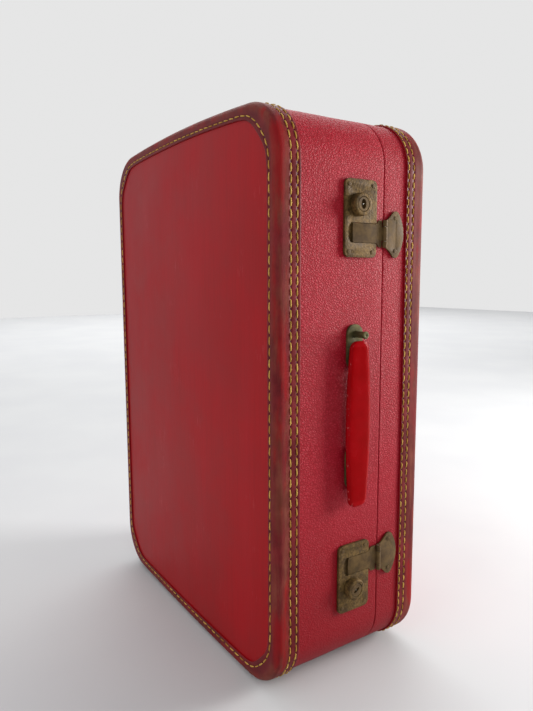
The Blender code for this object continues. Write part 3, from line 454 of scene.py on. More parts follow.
def aged_brass(name, dark, light, hammer=0.0, scale=520, speck_highlight_share=0.35, metallic=0.35):
    """Tarnished brass: hammered or cast skin, dark patina in patches, pale specks that are partly rubbed
    brass and partly painted highlights.
    """
    s = Shader(name, metallic=metallic, specular=0.15)
    patina = s.noise(95, 5.0, 0.65)
    specks = s.noise(900, 3.0, 0.7)
    dents = s.cells(scale, "SMOOTH_F1", smoothness=0.8)
    green = s.band(s.noise(60, 3.0), 0.55, 0.75, 0.0, 0.35)
    base = s.mix(s.band(patina, 0.32, 0.68), dark, light)
    greened = s.mix(green, base, colour(62, 60, 34))
    pit_share = s.times(s.band(dents, 0.30, 0.75), min(1.0, hammer) * 0.45)
    pits = s.mix(pit_share, greened, colour(34, 24, 12))
    # pale specks on the hammering: partly rubbed brass, partly painted highlights
    specks_and_highlights = s.times(s.band(specks, 0.60, 0.72), s.band(dents, 0.0, 0.5, 1.0, 0.2))
    s.set("Base Color", s.mix(s.times(specks_and_highlights, speck_highlight_share), pits, colour(206, 178, 120)))
    s.set("Roughness", s.band(s.math("ADD", patina, s.times(specks, 0.5)), 0.4, 1.1, 0.50, 0.70))
    height = s.math("MULTIPLY_ADD", dents, hammer, s.times(specks, 0.25))
    s.set("Normal", s.bump(height, 0.00034, 0.60))
    return s.material


def dull_steel():
    s = Shader("dull_steel", metallic=0.9)
    grain = s.noise(1.0, 3.0, 0.6, s.stretched((300, 300, 2400)))
    rust = s.band(s.noise(220, 4.0, 0.7), 0.60, 0.80, 0.0, 0.6)
    base = s.mix(grain, colour(122, 120, 114), colour(168, 164, 154))
    s.set("Base Color", s.mix(rust, base, colour(96, 62, 40)))
    s.set("Roughness", s.band(grain, 0.3, 0.7, 0.32, 0.55))
    s.set("Normal", s.bump(grain, 0.00008, 0.4))
    return s.material


def grip_plastic():
    """Red moulding, its front rubbed dull, with a few pale nicks along its edges and its edges painted
    lighter, partly wear and partly a painted highlight.
    """
    s = Shader("glossy_red_plastic", specular=0.03)
    cloudy = s.noise(38, 4.0, 0.6)
    edge_wear_and_sheen = s.attribute("edge")
    nicks = s.times(edge_wear_and_sheen, s.band(s.noise(200, 4.0, 0.7), 0.60, 0.70))
    base = s.mix(s.band(cloudy, 0.3, 0.7), colour(128, 0, 2), colour(140, 0, 6))
    # lighter along the edges: partly wear, partly a painted highlight
    edged = s.mix(s.times(edge_wear_and_sheen, 0.22), base, colour(172, 20, 30))
    scratches = s.band(s.noise(1.0, 2.0, 0.5, s.stretched((1400, 200, 90))), 0.66, 0.74, 0.0, 0.16)
    scuffed = s.mix(scratches, edged, colour(196, 66, 72))
    s.set("Base Color", s.mix(s.times(nicks, 0.45), scuffed, colour(214, 130, 130)))
    s.set("Roughness", s.band(s.math("ADD", cloudy, s.times(nicks, 0.8)), 0.3, 1.2, 0.20, 0.45))
    s.set("Normal", s.bump(s.noise(320, 4.0, 0.65), 0.00006, 0.35))
    return s.material


def box_board():
    s = Shader("box_board", roughness=0.85, specular=0.2)
    fibre = s.noise(1.0, 5.0, 0.7, s.stretched((700, 60, 60)))
    fleck = s.noise(420, 3.0, 0.7)
    base = s.mix(s.band(fibre, 0.3, 0.7), colour(120, 88, 56), colour(158, 122, 82))
    s.set("Base Color", s.mix(s.band(fleck, 0.58, 0.7, 0.0, 0.5), base, colour(84, 58, 36)))
    s.set("Roughness", s.band(fleck, 0.2, 0.8, 0.75, 0.92))
    s.set("Normal", s.bump(s.math("ADD", fibre, fleck), 0.00015, 0.5))
    return s.material


def cloth(name, dark, light, across=(1500, 1500, 1500)):
    """Plain-weave lining cloth with crossed ribs and faint stains."""
    s = Shader(name, roughness=0.8, specular=0.25)
    place = s.node("ShaderNodeSeparateXYZ", {"Vector": s.stretched(across)})
    warp = s.math("SINE", s.times(place.outputs["Z"], 4.2))
    weft = s.math("SINE", s.times(s.math("ADD", place.outputs["Y"], place.outputs["X"]), 4.2))
    weave = s.times(warp, weft)
    stain = s.noise(11, 4.0, 0.6)
    base = s.mix(s.band(weave, -0.8, 0.8), dark, light)
    s.set("Base Color", s.mix(s.band(stain, 0.5, 0.8, 0.0, 0.4), base, dark))
    s.set("Roughness", s.band(stain, 0.3, 0.7, 0.70, 0.88))
    s.set("Sheen Weight", 0.3)
    s.set("Normal", s.bump(s.math("MULTIPLY_ADD", s.noise(900, 2.0), 0.5, weave), 0.00012, 0.5))
    return s.material


def pale_floor():
    s = Shader("pale_floor", specular=0.15)
    mottle = s.noise(3, 3.0)
    s.set("Base Color", s.mix(s.band(mottle, 0.3, 0.7), colour(196, 197, 199), colour(201, 202, 203)))
    s.set("Roughness", s.band(mottle, 0.2, 0.8, 0.60, 0.70))
    return s.material


# ---- outlines and sweeps ----
def end_curve(crown):
    """Half slope of a bowed end and the radius of its bow."""
    reach = HALF_WIDTH - CORNER_RADIUS
    slope = 2 * math.atan(crown / reach)
    return slope, reach / math.sin(slope) + CORNER_RADIUS


def corner_share(distance):
    """Eases from 1 in the middle of a corner to 0 on the edge beside it."""
    reach = CORNER_RADIUS * math.radians(90) / 2 + CORNER_RUN
    return 0.5 + 0.5 * math.cos(math.pi * min(1.0, distance / reach))


def end_samples(crown):
    """One bowed end from its +Y side to its -Y side: (y, height, outward y, outward z, share)."""
    slope, bow = end_curve(crown)
    reach = HALF_WIDTH - CORNER_RADIUS
    turn = math.radians(90) - slope
    corner_height = (bow - CORNER_RADIUS) * math.cos(slope) - bow
    half = []
    for index in range(CORNER_SAMPLES):
        angle = turn * index / CORNER_SAMPLES
        share = corner_share(CORNER_RADIUS * abs(angle - turn / 2))
        half.append((reach + CORNER_RADIUS * math.cos(angle), corner_height + CORNER_RADIUS * math.sin(angle),
                     math.cos(angle), math.sin(angle), share))
    steps = 2 * round(bow * slope / STRAIGHT_SAMPLE)
    bowed = []
    for index in range(steps + 1):
        angle = turn + 2 * slope * index / steps
        from_corner = bow * min(angle - turn, math.pi - turn - angle)
        share = corner_share(CORNER_RADIUS * turn / 2 + from_corner)
        out_y, out_z = math.cos(angle), math.sin(angle)
        bowed.append((bow * out_y, bow * out_z - bow, out_y, out_z, share))
    mirrored = [(-y, height, -out_y, out_z, share) for y, height, out_y, out_z, share in reversed(half)]
    return half + bowed + mirrored


def long_side(start, end, out_y):
    """Samples between the last point of one end and the first point of the next."""
    length = abs(end - start)
    count = round(length / STRAIGHT_SAMPLE)
    samples = []
    for index in range(1, count):
        past = length * index / count
        share = corner_share(CORNER_RADIUS * math.radians(90) / 2 + min(past, length - past))
        samples.append((out_y * HALF_WIDTH, start + (end - start) * index / count, out_y, 0.0, share))
    return samples


def case_path():
    """Samples round the case from the bottom's middle: (y, z, inward y, inward z, length, share)."""
    high, low = CASE_Z + HALF_HEIGHT, CASE_Z - HALF_HEIGHT
    top = [(y, high + h, out_y, out_z, share) for y, h, out_y, out_z, share in end_samples(TOP_CROWN)]
    bottom = [(-y, low - h, -out_y, -out_z, share) for y, h, out_y, out_z, share in end_samples(BOTTOM_CROWN)]
    loop = (top + long_side(top[-1][1], bottom[0][1], -1) + bottom + long_side(bottom[-1][1], top[0][1], 1))
    start = min(range(len(loop)), key=lambda index: (round(loop[index][1], 6), abs(loop[index][0])))
    loop = loop[start:] + loop[:start]
    samples, along = [], 0.0
    for index, (y, z, out_y, out_z, share) in enumerate(loop):
        if index:
            along += math.dist((y, z), loop[index - 1][:2])
        samples.append((CASE_Y + y, z, -out_y, -out_z, along, share))
    return samples, along + math.dist(loop[0][:2], loop[-1][:2])


PATH, PATH_LENGTH = case_path()


class Row:
    """A line of stitches round the case, further in at the corners."""

    def __init__(self, inset, corner_extra=0.0):
        self.insets = [inset + corner_extra * sample[5] for sample in PATH]
        self.points = [Vector((y + in_y * inset, z + in_z * inset))
                       for (y, z, in_y, in_z, _, _), inset in zip(PATH, self.insets)]
        self.lengths = [0.0]
        for index in range(1, len(self.points) + 1):
            step = (self.points[index % len(self.points)] - self.points[index - 1]).length
            self.lengths.append(self.lengths[-1] + step)
        self.length = self.lengths[-1]

    def pitch(self, asked):
        """The pitch nearest the asked one that divides the row's length evenly."""
        return self.length / round(self.length / asked)

    def at(self, distance):
        """Place, direction along and direction inwards at a distance along the row."""
        index = min(bisect.bisect_right(self.lengths, distance), len(self.points)) - 1
        beyond = (index + 1) % len(self.points)
        step = self.points[beyond] - self.points[index]
        place = self.points[index] + step * ((distance - self.lengths[index]) / step.length)
        along = step.normalized()
        return place, along, Vector((-along.y, along.x))


WALL_ROW = Row(0.0)
PANEL_STITCH_ROW = Row(PANEL_ROW, ROW_CORNER_EXTRA)


def waver(along, size, turns, seed):
    """A gentle wobble that closes on itself after one turn round the case."""
    share = math.tau * along / PATH_LENGTH
    total = 0.0
    for step, turn in enumerate(turns):
        total += math.sin(turn * share + seed * 1.7 + step * 2.1) / (step + 1)
    return size * total / 1.6


def sweep(name, section_at, face_x, side, extras=()):
    """Sweep a closed section round the case.

    section_at(number, sample) lists (inset, depth, *extras): inset runs in from the case's outline and
    depth runs in from the face at face_x.  extras are float attributes of the mesh.
    """
    vertices, faces = [], []
    values = {extra: [] for extra in extras}
    count = 0
    for number, sample in enumerate(PATH):
        y, z, in_y, in_z = sample[:4]
        section = section_at(number, sample)
        count = len(section)
        for inset, depth, *rest in section:
            vertices.append((face_x - side * depth, y + in_y * inset, z + in_z * inset))
            for extra, value in zip(extras, rest):
                values[extra].append(value)
    total = len(PATH)
    for step in range(total):
        faces += ring_quads(step * count, (step + 1) % total * count, count)
    mesh = mesh_from(vertices, faces, name)
    for extra in extras:
        store(mesh, extra, values[extra])
    item = link(name, mesh)
    smooth_by_angle(item, 60)
    return item


# ---- bindings ----
def groove(distance):
    return GROOVE_DEPTH * math.exp(-((distance / GROOVE_WIDTH) ** 2))


def binding_section(number, sample, prefix, seed):
    """Closed L section with stitch grooves; also wear, fold, row distance and stitch phase."""
    along, share = sample[4], sample[5]
    wall_rows = WALL_ROWS[prefix]
    panel_row = PANEL_STITCH_ROW.insets[number]
    wall_phase = WALL_ROW.lengths[number] / WALL_ROW.pitch(WALL_PITCH[prefix])
    panel_phase = PANEL_STITCH_ROW.lengths[number] / PANEL_STITCH_ROW.pitch(PANEL_PITCH)
    edge_depth = BINDING_ON_WALL - 0.0003 + waver(along, 0.00025, (3, 7, 13), seed)
    edge_inset = BINDING_ON_PANEL - 0.0003 + waver(along, 0.00025, (4, 9, 17), seed + 1)
    edge_inset += FLANGE_CORNER_EXTRA * share
    sag = 0.00012 + abs(waver(along, 0.00012, (5, 11, 23), seed + 2))
    section = []
    wall_points = 28
    for step in range(wall_points + 1):
        depth = edge_depth - 0.0006 - (edge_depth - 0.0006 - BINDING_ROUND) * step / wall_points
        nearest = min(abs(depth - row) for row in wall_rows)
        inset = sag + sum(groove(depth - row) for row in wall_rows)
        worn = max(0.0, 1 - abs(depth - 0.0095) / 0.0058)
        section.append((inset, depth, worn, 0.0, nearest, wall_phase))
    arc_points = 9
    for step in range(1, arc_points):
        angle = math.radians(90) * step / arc_points
        inset = BINDING_ROUND - (BINDING_ROUND - sag * math.cos(angle)) * math.cos(angle)
        depth = BINDING_ROUND - BINDING_ROUND * math.sin(angle)
        section.append((inset, depth, 1 - 0.55 * step / arc_points, 0.0, 0.01, wall_phase))
    panel_points = 20
    for step in range(panel_points + 1):
        inset = BINDING_ROUND + (edge_inset - 0.0005 - BINDING_ROUND) * step / panel_points
        depth = groove(inset - panel_row) + 0.00008
        worn = 0.40 * max(0.0, 1 - (inset - BINDING_ROUND) / 0.003)
        section.append((inset, depth, worn, 0.0, abs(inset - panel_row), panel_phase))
    section += [(edge_inset - 0.0001, 0.00035, 0.0, 0.5, 0.01, panel_phase),
                (edge_inset, 0.0008, 0.0, 1.0, 0.01, panel_phase),
                (edge_inset - 0.0001, BINDING_THICKNESS, 0.0, 1.0, 0.01, panel_phase)]
    inner = BINDING_ROUND - 0.0014
    for step in range(6):
        angle = math.radians(90) * (1 - step / 5)
        section.append((BINDING_ROUND - inner * math.cos(angle), BINDING_ROUND - inner * math.sin(angle),
                        0.0, 1.0, 0.01, wall_phase))
    return section + [(0.0016, edge_depth - 0.0001, 0.0, 1.0, 0.01, wall_phase),
                      (0.0009, edge_depth, 0.0, 1.0, 0.01, wall_phase),
                      (0.00035 + sag, edge_depth - 0.0001, 0.0, 0.6, 0.01, wall_phase)]


def build_binding(prefix, side, face_x, material, seed):
    def section(number, sample):
        return binding_section(number, sample, prefix, seed)

    item = sweep(prefix + "_binding_finished", section, face_x, side, ("wear", "fold", "row", "phase"))
    finish_piece(item, prefix, material, [prefix + "_binding"])


# ---- stitches ----
class StitchRow:
    """Thread segments between needle holes, gathered into one mesh."""

    def __init__(self, seed):
        self.random = random.Random(seed)
        self.vertices, self.faces, self.shades = [], [], []

    def segment(self, centre, along, up, across, length, loose=0.0):
        """One stitch: a two-ply twisted thread that dips into a hole at each end."""
        rise = THREAD_RADIUS * self.random.uniform(0.25, 0.55) + loose
        slant = self.random.uniform(-0.10, 0.16)
        drift = self.random.uniform(-0.00012, 0.00012)
        radius = THREAD_RADIUS * self.random.uniform(0.90, 1.12)
        shade = self.random.random()
        first = len(self.vertices)
        for ring in range(STITCH_RINGS):
            t = ring / (STITCH_RINGS - 1) * 2 - 1
            height = rise * (1 - t * t) - 0.00085 * t ** 4
            sideways = drift + slant * t * length / 4
            middle = centre + along * (t * length / 2) + up * height + across * sideways
            swell = radius * (0.62 + 0.38 * (1 - t ** 4))
            for side in range(STITCH_SIDES):
                angle = math.tau * side / STITCH_SIDES
                ply = 1 + 0.16 * math.cos(2 * angle - 5.5 * t)
                reach = swell * ply
                self.vertices.append(middle + across * (reach * math.cos(angle))
                                     + up * (reach * math.sin(angle)))
                self.shades.append(shade)
        for ring in range(STITCH_RINGS - 1):
            start = first + ring * STITCH_SIDES
            self.faces += ring_quads(start, start + STITCH_SIDES, STITCH_SIDES)
        last = first + (STITCH_RINGS - 1) * STITCH_SIDES
        self.faces.append(tuple(first + side for side in range(STITCH_SIDES))[::-1])
        self.faces.append(tuple(last + side for side in range(STITCH_SIDES)))

    def finish(self, name, body, material):
        mesh = mesh_from(self.vertices, self.faces, name)
        store(mesh, "shade", self.shades)
        return finish_piece(link(name, mesh), body, material)


def wall_stitches(prefix, side, face_x, material, depth, seed):
    threads = StitchRow(seed)
    pitch = WALL_ROW.pitch(WALL_PITCH[prefix])
    x_out = Vector((-side, 0, 0))
    for number in range(round(WALL_ROW.length / pitch)):
        place, along, inward = WALL_ROW.at((number + 0.5) * pitch)
        place += inward * GROOVE_DEPTH * 0.6
        centre = Vector((face_x - side * depth, place.x, place.y))
        threads.segment(centre, Vector((0, *along)), -Vector((0, *inward)), x_out, pitch * STITCH_SHARE)
    threads.finish(f"{prefix}_wall_stitches_{round(depth * 10000)}", prefix, material)


def panel_stitches(prefix, side, face_x, material, seed):
    threads = StitchRow(seed)
    pitch = PANEL_STITCH_ROW.pitch(PANEL_PITCH)
    for number in range(round(PANEL_STITCH_ROW.length / pitch)):
        place, along, inward = PANEL_STITCH_ROW.at((number + 0.5) * pitch)
        centre = Vector((face_x - side * GROOVE_DEPTH * 0.8, place.x, place.y))
        threads.segment(centre, Vector((0, *along)), Vector((side, 0, 0)), Vector((0, *inward)),
                        pitch * STITCH_SHARE)
    threads.finish(f"{prefix}_panel_stitches", prefix, material)


# ---- covers and linings ----
def cover_section(sample, rim_depth, seed):
    """Thin cover that turns over the board's rim."""
    along = sample[4]
    start = 0.0072
    inner = COVER_INSET + COVER_THICKNESS
    section = []
    steps = 10
    for step in range(steps + 1):
        depth = start + (rim_depth - 0.0016 - start) * step / steps
        swell = waver(along, 0.00010, (3, 8, 19), seed + step * 0.6)
        section.append((COVER_INSET + 0.00010 + swell, depth))
    over_rim = [(COVER_INSET + 0.00012, -0.0010), (COVER_INSET + 0.00032, -0.0003),
                (COVER_INSET + 0.00090, 0.00010), (COVER_INSET + 0.00180, 0.00020),
                (0.0066, 0.00020), (0.0067, 0.00003), (inner, 0.00002), (inner, -0.0010)]
    return section + [(inset, rim_depth + past) for inset, past in over_rim] + [(inner, start)]


def cut_post_holes(item):
    """Holes for the bushes of the handle's posts."""
    cutters = []
    for prefix in ("upper", "lower"):
        low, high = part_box(prefix + "_post_bush")
        centre = (low + high) / 2
        place = Matrix.Translation((centre.x, WALL_Y, centre.z)) @ OUTWARD
        outline = oval(POST_HOLE_RADIUS, POST_HOLE_RADIUS, 24)
        cutters.append(extruded("post_hole", outline, -0.012, 0.006, place))
    subtract(item, cutters)
    smooth_by_angle(item, 60)


def build_wall_cover(prefix, side, face_x, rim_x, material, seed):
    rim_depth = abs(rim_x - face_x)

    def section(number, sample):
        return cover_section(sample, rim_depth, seed)

    item = sweep(prefix + "_wall_cover_finished", section, face_x, side)
    if prefix == "body":
        cut_post_holes(item)
    finish_piece(item, prefix, material, [prefix + "_wall_cover"])


def build_wall_lining(prefix, side, face_x, material):
    low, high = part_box(prefix + "_wall_lining")
    near, far = sorted((abs(low.x - face_x), abs(high.x - face_x)))
    inset = low.y - BINDING_LOW.y
    thickness = 0.0006

    def section(number, sample):
        swell = waver(sample[4], 0.00008, (6, 15, 27), 2.0)
        return [(inset, near), (inset, far - 0.0002), (inset + thickness / 2, far),
                (inset + thickness + swell, far - 0.0002), (inset + thickness + swell, near)]

    item = sweep(prefix + "_wall_lining_finished", section, face_x, side)
    if prefix == "body":
        cut_post_holes(item)
    finish_piece(item, prefix, material, [prefix + "_wall_lining"])


def panel_sheet(name, inset, front_x, back_x, crown, seed):
    """A panel's sheet: rings of the case's outline shrunk towards its middle, gently crowned."""
    rings = 16
    count = len(PATH)
    sign = 1 if front_x > back_x else -1
    vertices, faces = [], []
    for layer_x, bulge in ((front_x, crown), (back_x, crown)):
        for ring in range(rings):
            share = 1 - ring / rings
            for y, z, in_y, in_z, along, _ in PATH:
                edge_y, edge_z = y + in_y * inset, z + in_z * inset
                rise = bulge * (1 - share ** 2) ** 0.8
                ripple = waver(along, 0.00007, (3, 5, 9), seed + ring * 0.35) * math.sin(math.pi * share)
                vertices.append((layer_x + sign * (rise + ripple),
                                 CASE_Y + (edge_y - CASE_Y) * share, CASE_Z + (edge_z - CASE_Z) * share))
        vertices.append((layer_x + sign * bulge, CASE_Y, CASE_Z))
    layer = rings * count + 1
    for level in (0, 1):
        base = level * layer
        for ring in range(rings - 1):
            start = base + ring * count
            faces += ring_quads(start, start + count, count)
        inner = base + (rings - 1) * count
        faces += [(inner + step, inner + (step + 1) % count, base + layer - 1) for step in range(count)]
    faces += ring_quads(0, layer, count)
    item = link(name, mesh_from(vertices, faces, name))
    smooth_by_angle(item, 50)
    return item


def build_panels(prefix, side, cover_material, lining_material):
    for part, slot, material, crown in (("_panel_cover", "panel_vinyl", cover_material, 0.0007),
                                        ("_panel_lining", "lining_cloth", lining_material, 0.0)):
        low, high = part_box(prefix + part)
        outer_x, inner_x = (low.x, high.x) if side < 0 else (high.x, low.x)
        inset = low.y - BINDING_LOW.y
        item = panel_sheet(prefix + part + "_finished", inset, outer_x, inner_x, crown, side * 1.3)
        finish_piece(item, prefix, material, [prefix + part])


# ---- brass fittings ----
def domed_nail(name, place, radius, dome, depth, body, material, replaces=()):
    """Small domed head with a ring round it and a punched dimple."""
    profile = [(0, dome * 0.82), (radius * 0.22, dome * 0.90), (radius * 0.5, dome),
               (radius * 0.8, dome * 0.72),
               (radius * 0.97, dome * 0.3), (radius, 0.0001), (radius * 0.96, 0), (radius * 0.45, 0),
               (radius * 0.45, -depth), (0, -depth)]
    item = turned(name, profile, place, 28)
    return finish_piece(item, body, material, replaces)


def finish_nails(material):
    for node in sorted(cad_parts):
        if "_nail_" not in node:
            continue
        low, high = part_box(node)
        body = "lid" if "keeper" in node else "body"
        face = low.y + 0.0006
        place = Matrix.Translation(((low.x + high.x) / 2, face, (low.z + high.z) / 2)) @ OUTWARD
        domed_nail(node + "_finished", place, 0.0019, 0.0003, high.y - face, body, material, [node])


def build_button(prefix, material, plug_material, steel):
    """Sliding button with a rounded rim, and its key plug with the keyhole cut in."""
    low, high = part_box(prefix + "_lock_button")
    centre = (low + high) / 2
    radius, height = (high.x - low.x) / 2, high.y - low.y
    place = Matrix.Translation((centre.x, high.y, centre.z)) @ OUTWARD
    bore = 0.0066
    profile = [(0, 0.0013), (bore, 0.0013), (bore, height - 0.0002), (bore + 0.0002, height),
               (radius - 0.0016, height), (radius - 0.0009, height - 0.0002),
               (radius - 0.0004, height - 0.0006), (radius - 0.0002, height - 0.0013),
               (radius - 0.0001, 0.0022), (radius, 0.0016), (radius, 0.0003),
               (radius - 0.0002, 0), (0, 0)]
    button = turned(prefix + "_lock_button_finished", profile, place, 72)
    finish_piece(button, prefix + "_button", material, [prefix + "_lock_button"])
    plug_low, plug_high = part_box(prefix + "_key_plug")
    top = high.y - plug_low.y
    foot = high.y - plug_high.y
    face = [(0, top), (0.0060, top), (0.0063, top - 0.0003), (0.0063, foot), (0, foot)]
    plug = turned(prefix + "_key_plug_finished", face, place, 64)
    half_width, half_length, angle = KEYHOLES[prefix]
    turn = place @ Matrix.Rotation(math.radians(angle), 4, "Z")
    keyhole = oval(half_width, half_length, 28)
    subtract(plug, [extruded("keyhole", keyhole, top - KEYHOLE_DEPTH, top + 0.002, turn)])
    smooth_by_angle(plug, 38)
    finish_piece(plug, prefix + "_key", plug_material, [prefix + "_key_plug"])
    pin_foot = top - KEYHOLE_DEPTH - 0.0002
    pin = [(0, top - 0.0008), (0.0004, top - 0.0009), (0.0007, top - 0.0013), (0.0007, pin_foot),
           (0, pin_foot)]
    finish_piece(turned(prefix + "_keyhole_pin", pin, place, 20), prefix + "_key", steel)


def build_rivets(material):
    """Three rivets in each hinge leaf."""
    for prefix in ("upper", "lower"):
        for half, side in (("body", -1), ("lid", 1)):
            low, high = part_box(f"{prefix}_hinge_{half}_leaf")
            axis_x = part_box(prefix + "_hinge_pin")[0].x + 0.001
            face_y = low.y + 0.0014
            middle = (low.z + high.z) / 2
            for number, (along, up) in enumerate(((0.0105, -0.0130), (0.0175, 0.0), (0.0105, 0.0130)), 1):
                place = Matrix.Translation((axis_x + side * along, face_y, middle + up)) @ INWARD_HINGE
                name = f"{prefix}_hinge_{half}_rivet_{number}"
                domed_nail(name, place, 0.0026, 0.0012, 0.0013, half, material)


def build_post(prefix, material, steel):
    """Round post with a rimmed head, and its retaining washer inside the case."""
    low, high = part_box(prefix + "_handle_post")
    centre = (low + high) / 2
    length = high.y - low.y
    head, shaft = (high.x - low.x) / 2, 0.0029
    place = Matrix.Translation((centre.x, low.y, centre.z)) @ OUTWARD
    profile = [(0, -0.00035), (0.0007, -0.00035), (0.0010, -0.0001), (0.0021, 0), (head - 0.0007, -0.0001),
               (head - 0.0002, -0.0003), (head, -0.0007), (head, -0.0011), (head - 0.0002, -0.0013),
               (shaft, -0.0014), (shaft, -length + 0.0035), (0.0018, -length + 0.0034),
               (0.0018, -length + 0.0003), (0.0015, -length), (0, -length)]
    post = turned(prefix + "_handle_post_finished", profile, place, 48)
    finish_piece(post, prefix + "_post", material, [prefix + "_handle_post"])
    softened(prefix + "_post_retainer", prefix + "_post", steel, 0.0002, 2)


# ---- grip ----
def grip_half_width(z, reach, middle, end):
    return (end + (middle - end) * (1 - (z / reach) ** 2)) / 2


def build_grip(material):
    """Flat oval bar with rolled edges, a crowned front, and T slots for the posts' heads."""
    low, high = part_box("handle_grip")
    centre = (low + high) / 2
    half_length = (high.z - low.z) / 2
    thickness = high.y - low.y
    middle_width, end_width, end_round = high.x - low.x, GRIP_END_WIDTH, GRIP_END_ROUND
    roll = thickness * 0.42
    rows, around = 72, 28
    vertices, faces, edge_wear_and_sheen_values = [], [], []
    for row in range(rows + 1):
        t = -math.cos(math.pi * row / rows)
        z = t * half_length
        reach = half_length - end_round
        width = grip_half_width(max(-reach, min(reach, z)), reach, middle_width, end_width)
        past = max(0.0, abs(z) - reach) / end_round
        pinch = 1 - (1 - math.sqrt(max(0.0, 1 - past ** 2.6))) * (end_round / width)
        tip = max(0.0, abs(z) - (half_length - roll)) / roll
        depth = (thickness / 2) * math.sqrt(max(0.0004, 1 - tip ** 2.4))
        width = max(width * pinch, 0.0006)
        for step in range(around):
            angle = math.tau * step / around
            c, s = math.cos(angle), math.sin(angle)
            flat = 5.0
            scale = (abs(c) ** flat + abs(s) ** flat) ** (-1 / flat)
            x = scale * c * width
            y = scale * s * depth
            vertices.append((centre.x + x, centre.y + y, centre.z + z))
            # edge mask for the grip's wear and its painted highlight
            edge_wear_and_sheen_values.append(max(0.0, min(1.0, (abs(x) / width - 0.80) / 0.18)) if past < 0.5 else 1.0)
    for row in range(rows):
        faces += ring_quads(row * around, (row + 1) * around, around)
    faces.append(tuple(range(around)))
    faces.append(tuple(rows * around + step for step in range(around)))
    mesh = mesh_from(vertices, faces, "grip")
    store(mesh, "edge", edge_wear_and_sheen_values)
    item = link("handle_grip_finished", mesh)
    back = high.y
    slots = []
    for start_z, end_z in ((low.z - 0.004, low.z + GRIP_SLOT_LENGTH),
                           (high.z - GRIP_SLOT_LENGTH, high.z + 0.004)):
        slots.append(block_mesh((-0.0033, back - 0.0016, start_z), (0.0033, back + 0.004, end_z)))
        slots.append(block_mesh((-0.0040, back - 0.0030, start_z), (0.0040, back - 0.0011, end_z)))
    subtract(item, slots)
    smooth_by_angle(item, 50)
    finish_piece(item, "grip", material, ["handle_grip"])


# ---- pocket ----
def build_pocket(cloth_material, elastic_material):
    """Gathered pocket: folds run from the elastic mouth and fade towards the hinge side."""
    low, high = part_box("lid_pocket")
    band_low, band_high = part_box("lid_pocket_elastic")
    width, span = high.y - low.y, high.z - low.z
    columns, rows = 360, 34
    folds = 43
    front_x = low.x + 0.0030
    vertices, faces = [], []
    for row in range(rows + 1):
        down = row / rows
        gather = 1 - 0.62 * down
        edge = math.sin(math.pi * min(1.0, (1 - down) * 6) / 2)
        for column in range(columns + 1):
            across = column / columns
            side_fade = min(1.0, across * 30, (1 - across) * 30)
            fold = math.sin(math.tau * folds * across + 1.3 * math.sin(9 * across + 2 * down))
            fold += 0.35 * math.sin(math.tau * folds * 0.5 * across + 4 * down)
            x = front_x + 0.0019 * fold * gather * side_fade * (0.25 + 0.75 * edge)
            hang = 0.0012 * math.sin(math.tau * 3 * across) * math.sin(math.pi * down)
            vertices.append((min(high.x - 0.0008, max(low.x, x)), low.y + width * down + hang * (1 - down),
                             low.z + span * across))
    stride = columns + 1
    for row in range(rows):
        for column in range(columns):
            first = row * stride + column
            faces.append((first, first + 1, first + stride + 1, first + stride))
    mesh = bpy.data.meshes.new("pocket")
    mesh.from_pydata(vertices, [], faces)
    mesh.shade_smooth()
    item = link("lid_pocket_finished", mesh)
    thick = item.modifiers.new("cloth", "SOLIDIFY")
    thick.thickness = 0.0005
    thick.offset = 0
    baked(item)
    item.data.shade_smooth()
    finish_piece(item, "lid", cloth_material, ["lid_pocket"])
    band = []
    steps = 260
    thin = 0.0011
    for step in range(steps + 1):
        z = band_low.z + (band_high.z - band_low.z) * step / steps
        ripple = 0.0010 * math.sin(math.tau * folds * step / steps)
        x = band_low.x + 0.0022 + ripple
        for y, shift in ((band_low.y, 0), (band_high.y, 0), (band_high.y, thin), (band_low.y, thin)):
            band.append((x + shift, y, z))
    faces = [(0, 1, 2, 3), tuple(steps * 4 + i for i in range(4))]
    for step in range(steps):
        faces += ring_quads(step * 4, step * 4 + 4, 4)
    strip = link("lid_pocket_elastic_finished", mesh_from(band, faces, "elastic"))
    add_bevel(strip, 0.0003, 2, 60)
    baked(strip)
    smooth_by_angle(strip, 50)
    finish_piece(strip, "lid", elastic_material, ["lid_pocket_elastic"])


# ---- assembly of the looks ----
def shells(vinyl, panel, binding, thread, lining):
    for prefix, side, face_x, rim_x, seed in (("body", -1, BODY_FACE, BODY_RIM, 1),
                                              ("lid", 1, LID_FACE, LID_RIM, 5)):
        build_binding(prefix, side, face_x, binding, seed)
        for number, depth in enumerate(WALL_ROWS[prefix]):
            wall_stitches(prefix, side, face_x, thread, depth, seed * 10 + number)
        panel_stitches(prefix, side, face_x, thread, seed * 10 + 7)
        build_wall_cover(prefix, side, face_x, rim_x, vinyl, seed)
        build_wall_lining(prefix, side, face_x, lining)
        build_panels(prefix, side, panel, lining)


def fittings(plate_brass, cast_brass, post_brass, steel):
    for prefix in ("upper", "lower"):
        softened(prefix + "_lock_plate", "body", plate_brass, 0.00035)
        softened(prefix + "_handle_plate", "body", post_brass, 0.0009, 4)
        softened(prefix + "_hinge_body_leaf", "body", cast_brass, 0.00025, 2)
        softened(prefix + "_hinge_lid_leaf", "lid", cast_brass, 0.00025, 2)
        softened(prefix + "_hasp_keeper", "lid", cast_brass, 0.00045)
        softened(prefix + "_hasp", prefix + "_hasp", cast_brass, 0.00045)
        build_button(prefix, plate_brass, cast_brass, steel)
        build_post(prefix, post_brass, steel)
    finish_nails(cast_brass)
    build_rivets(cast_brass)


def dress_cad_nodes(board, steel):
    """Materials of the CAD nodes that keep their own shape."""
    for node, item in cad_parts.items():
        if item.hide_render:
            continue
        material = steel
        if node.endswith(("_hoop", "_panel_board", "_rim_rail")):
            material = board
        item.data.materials.clear()
        item.data.materials.append(material)


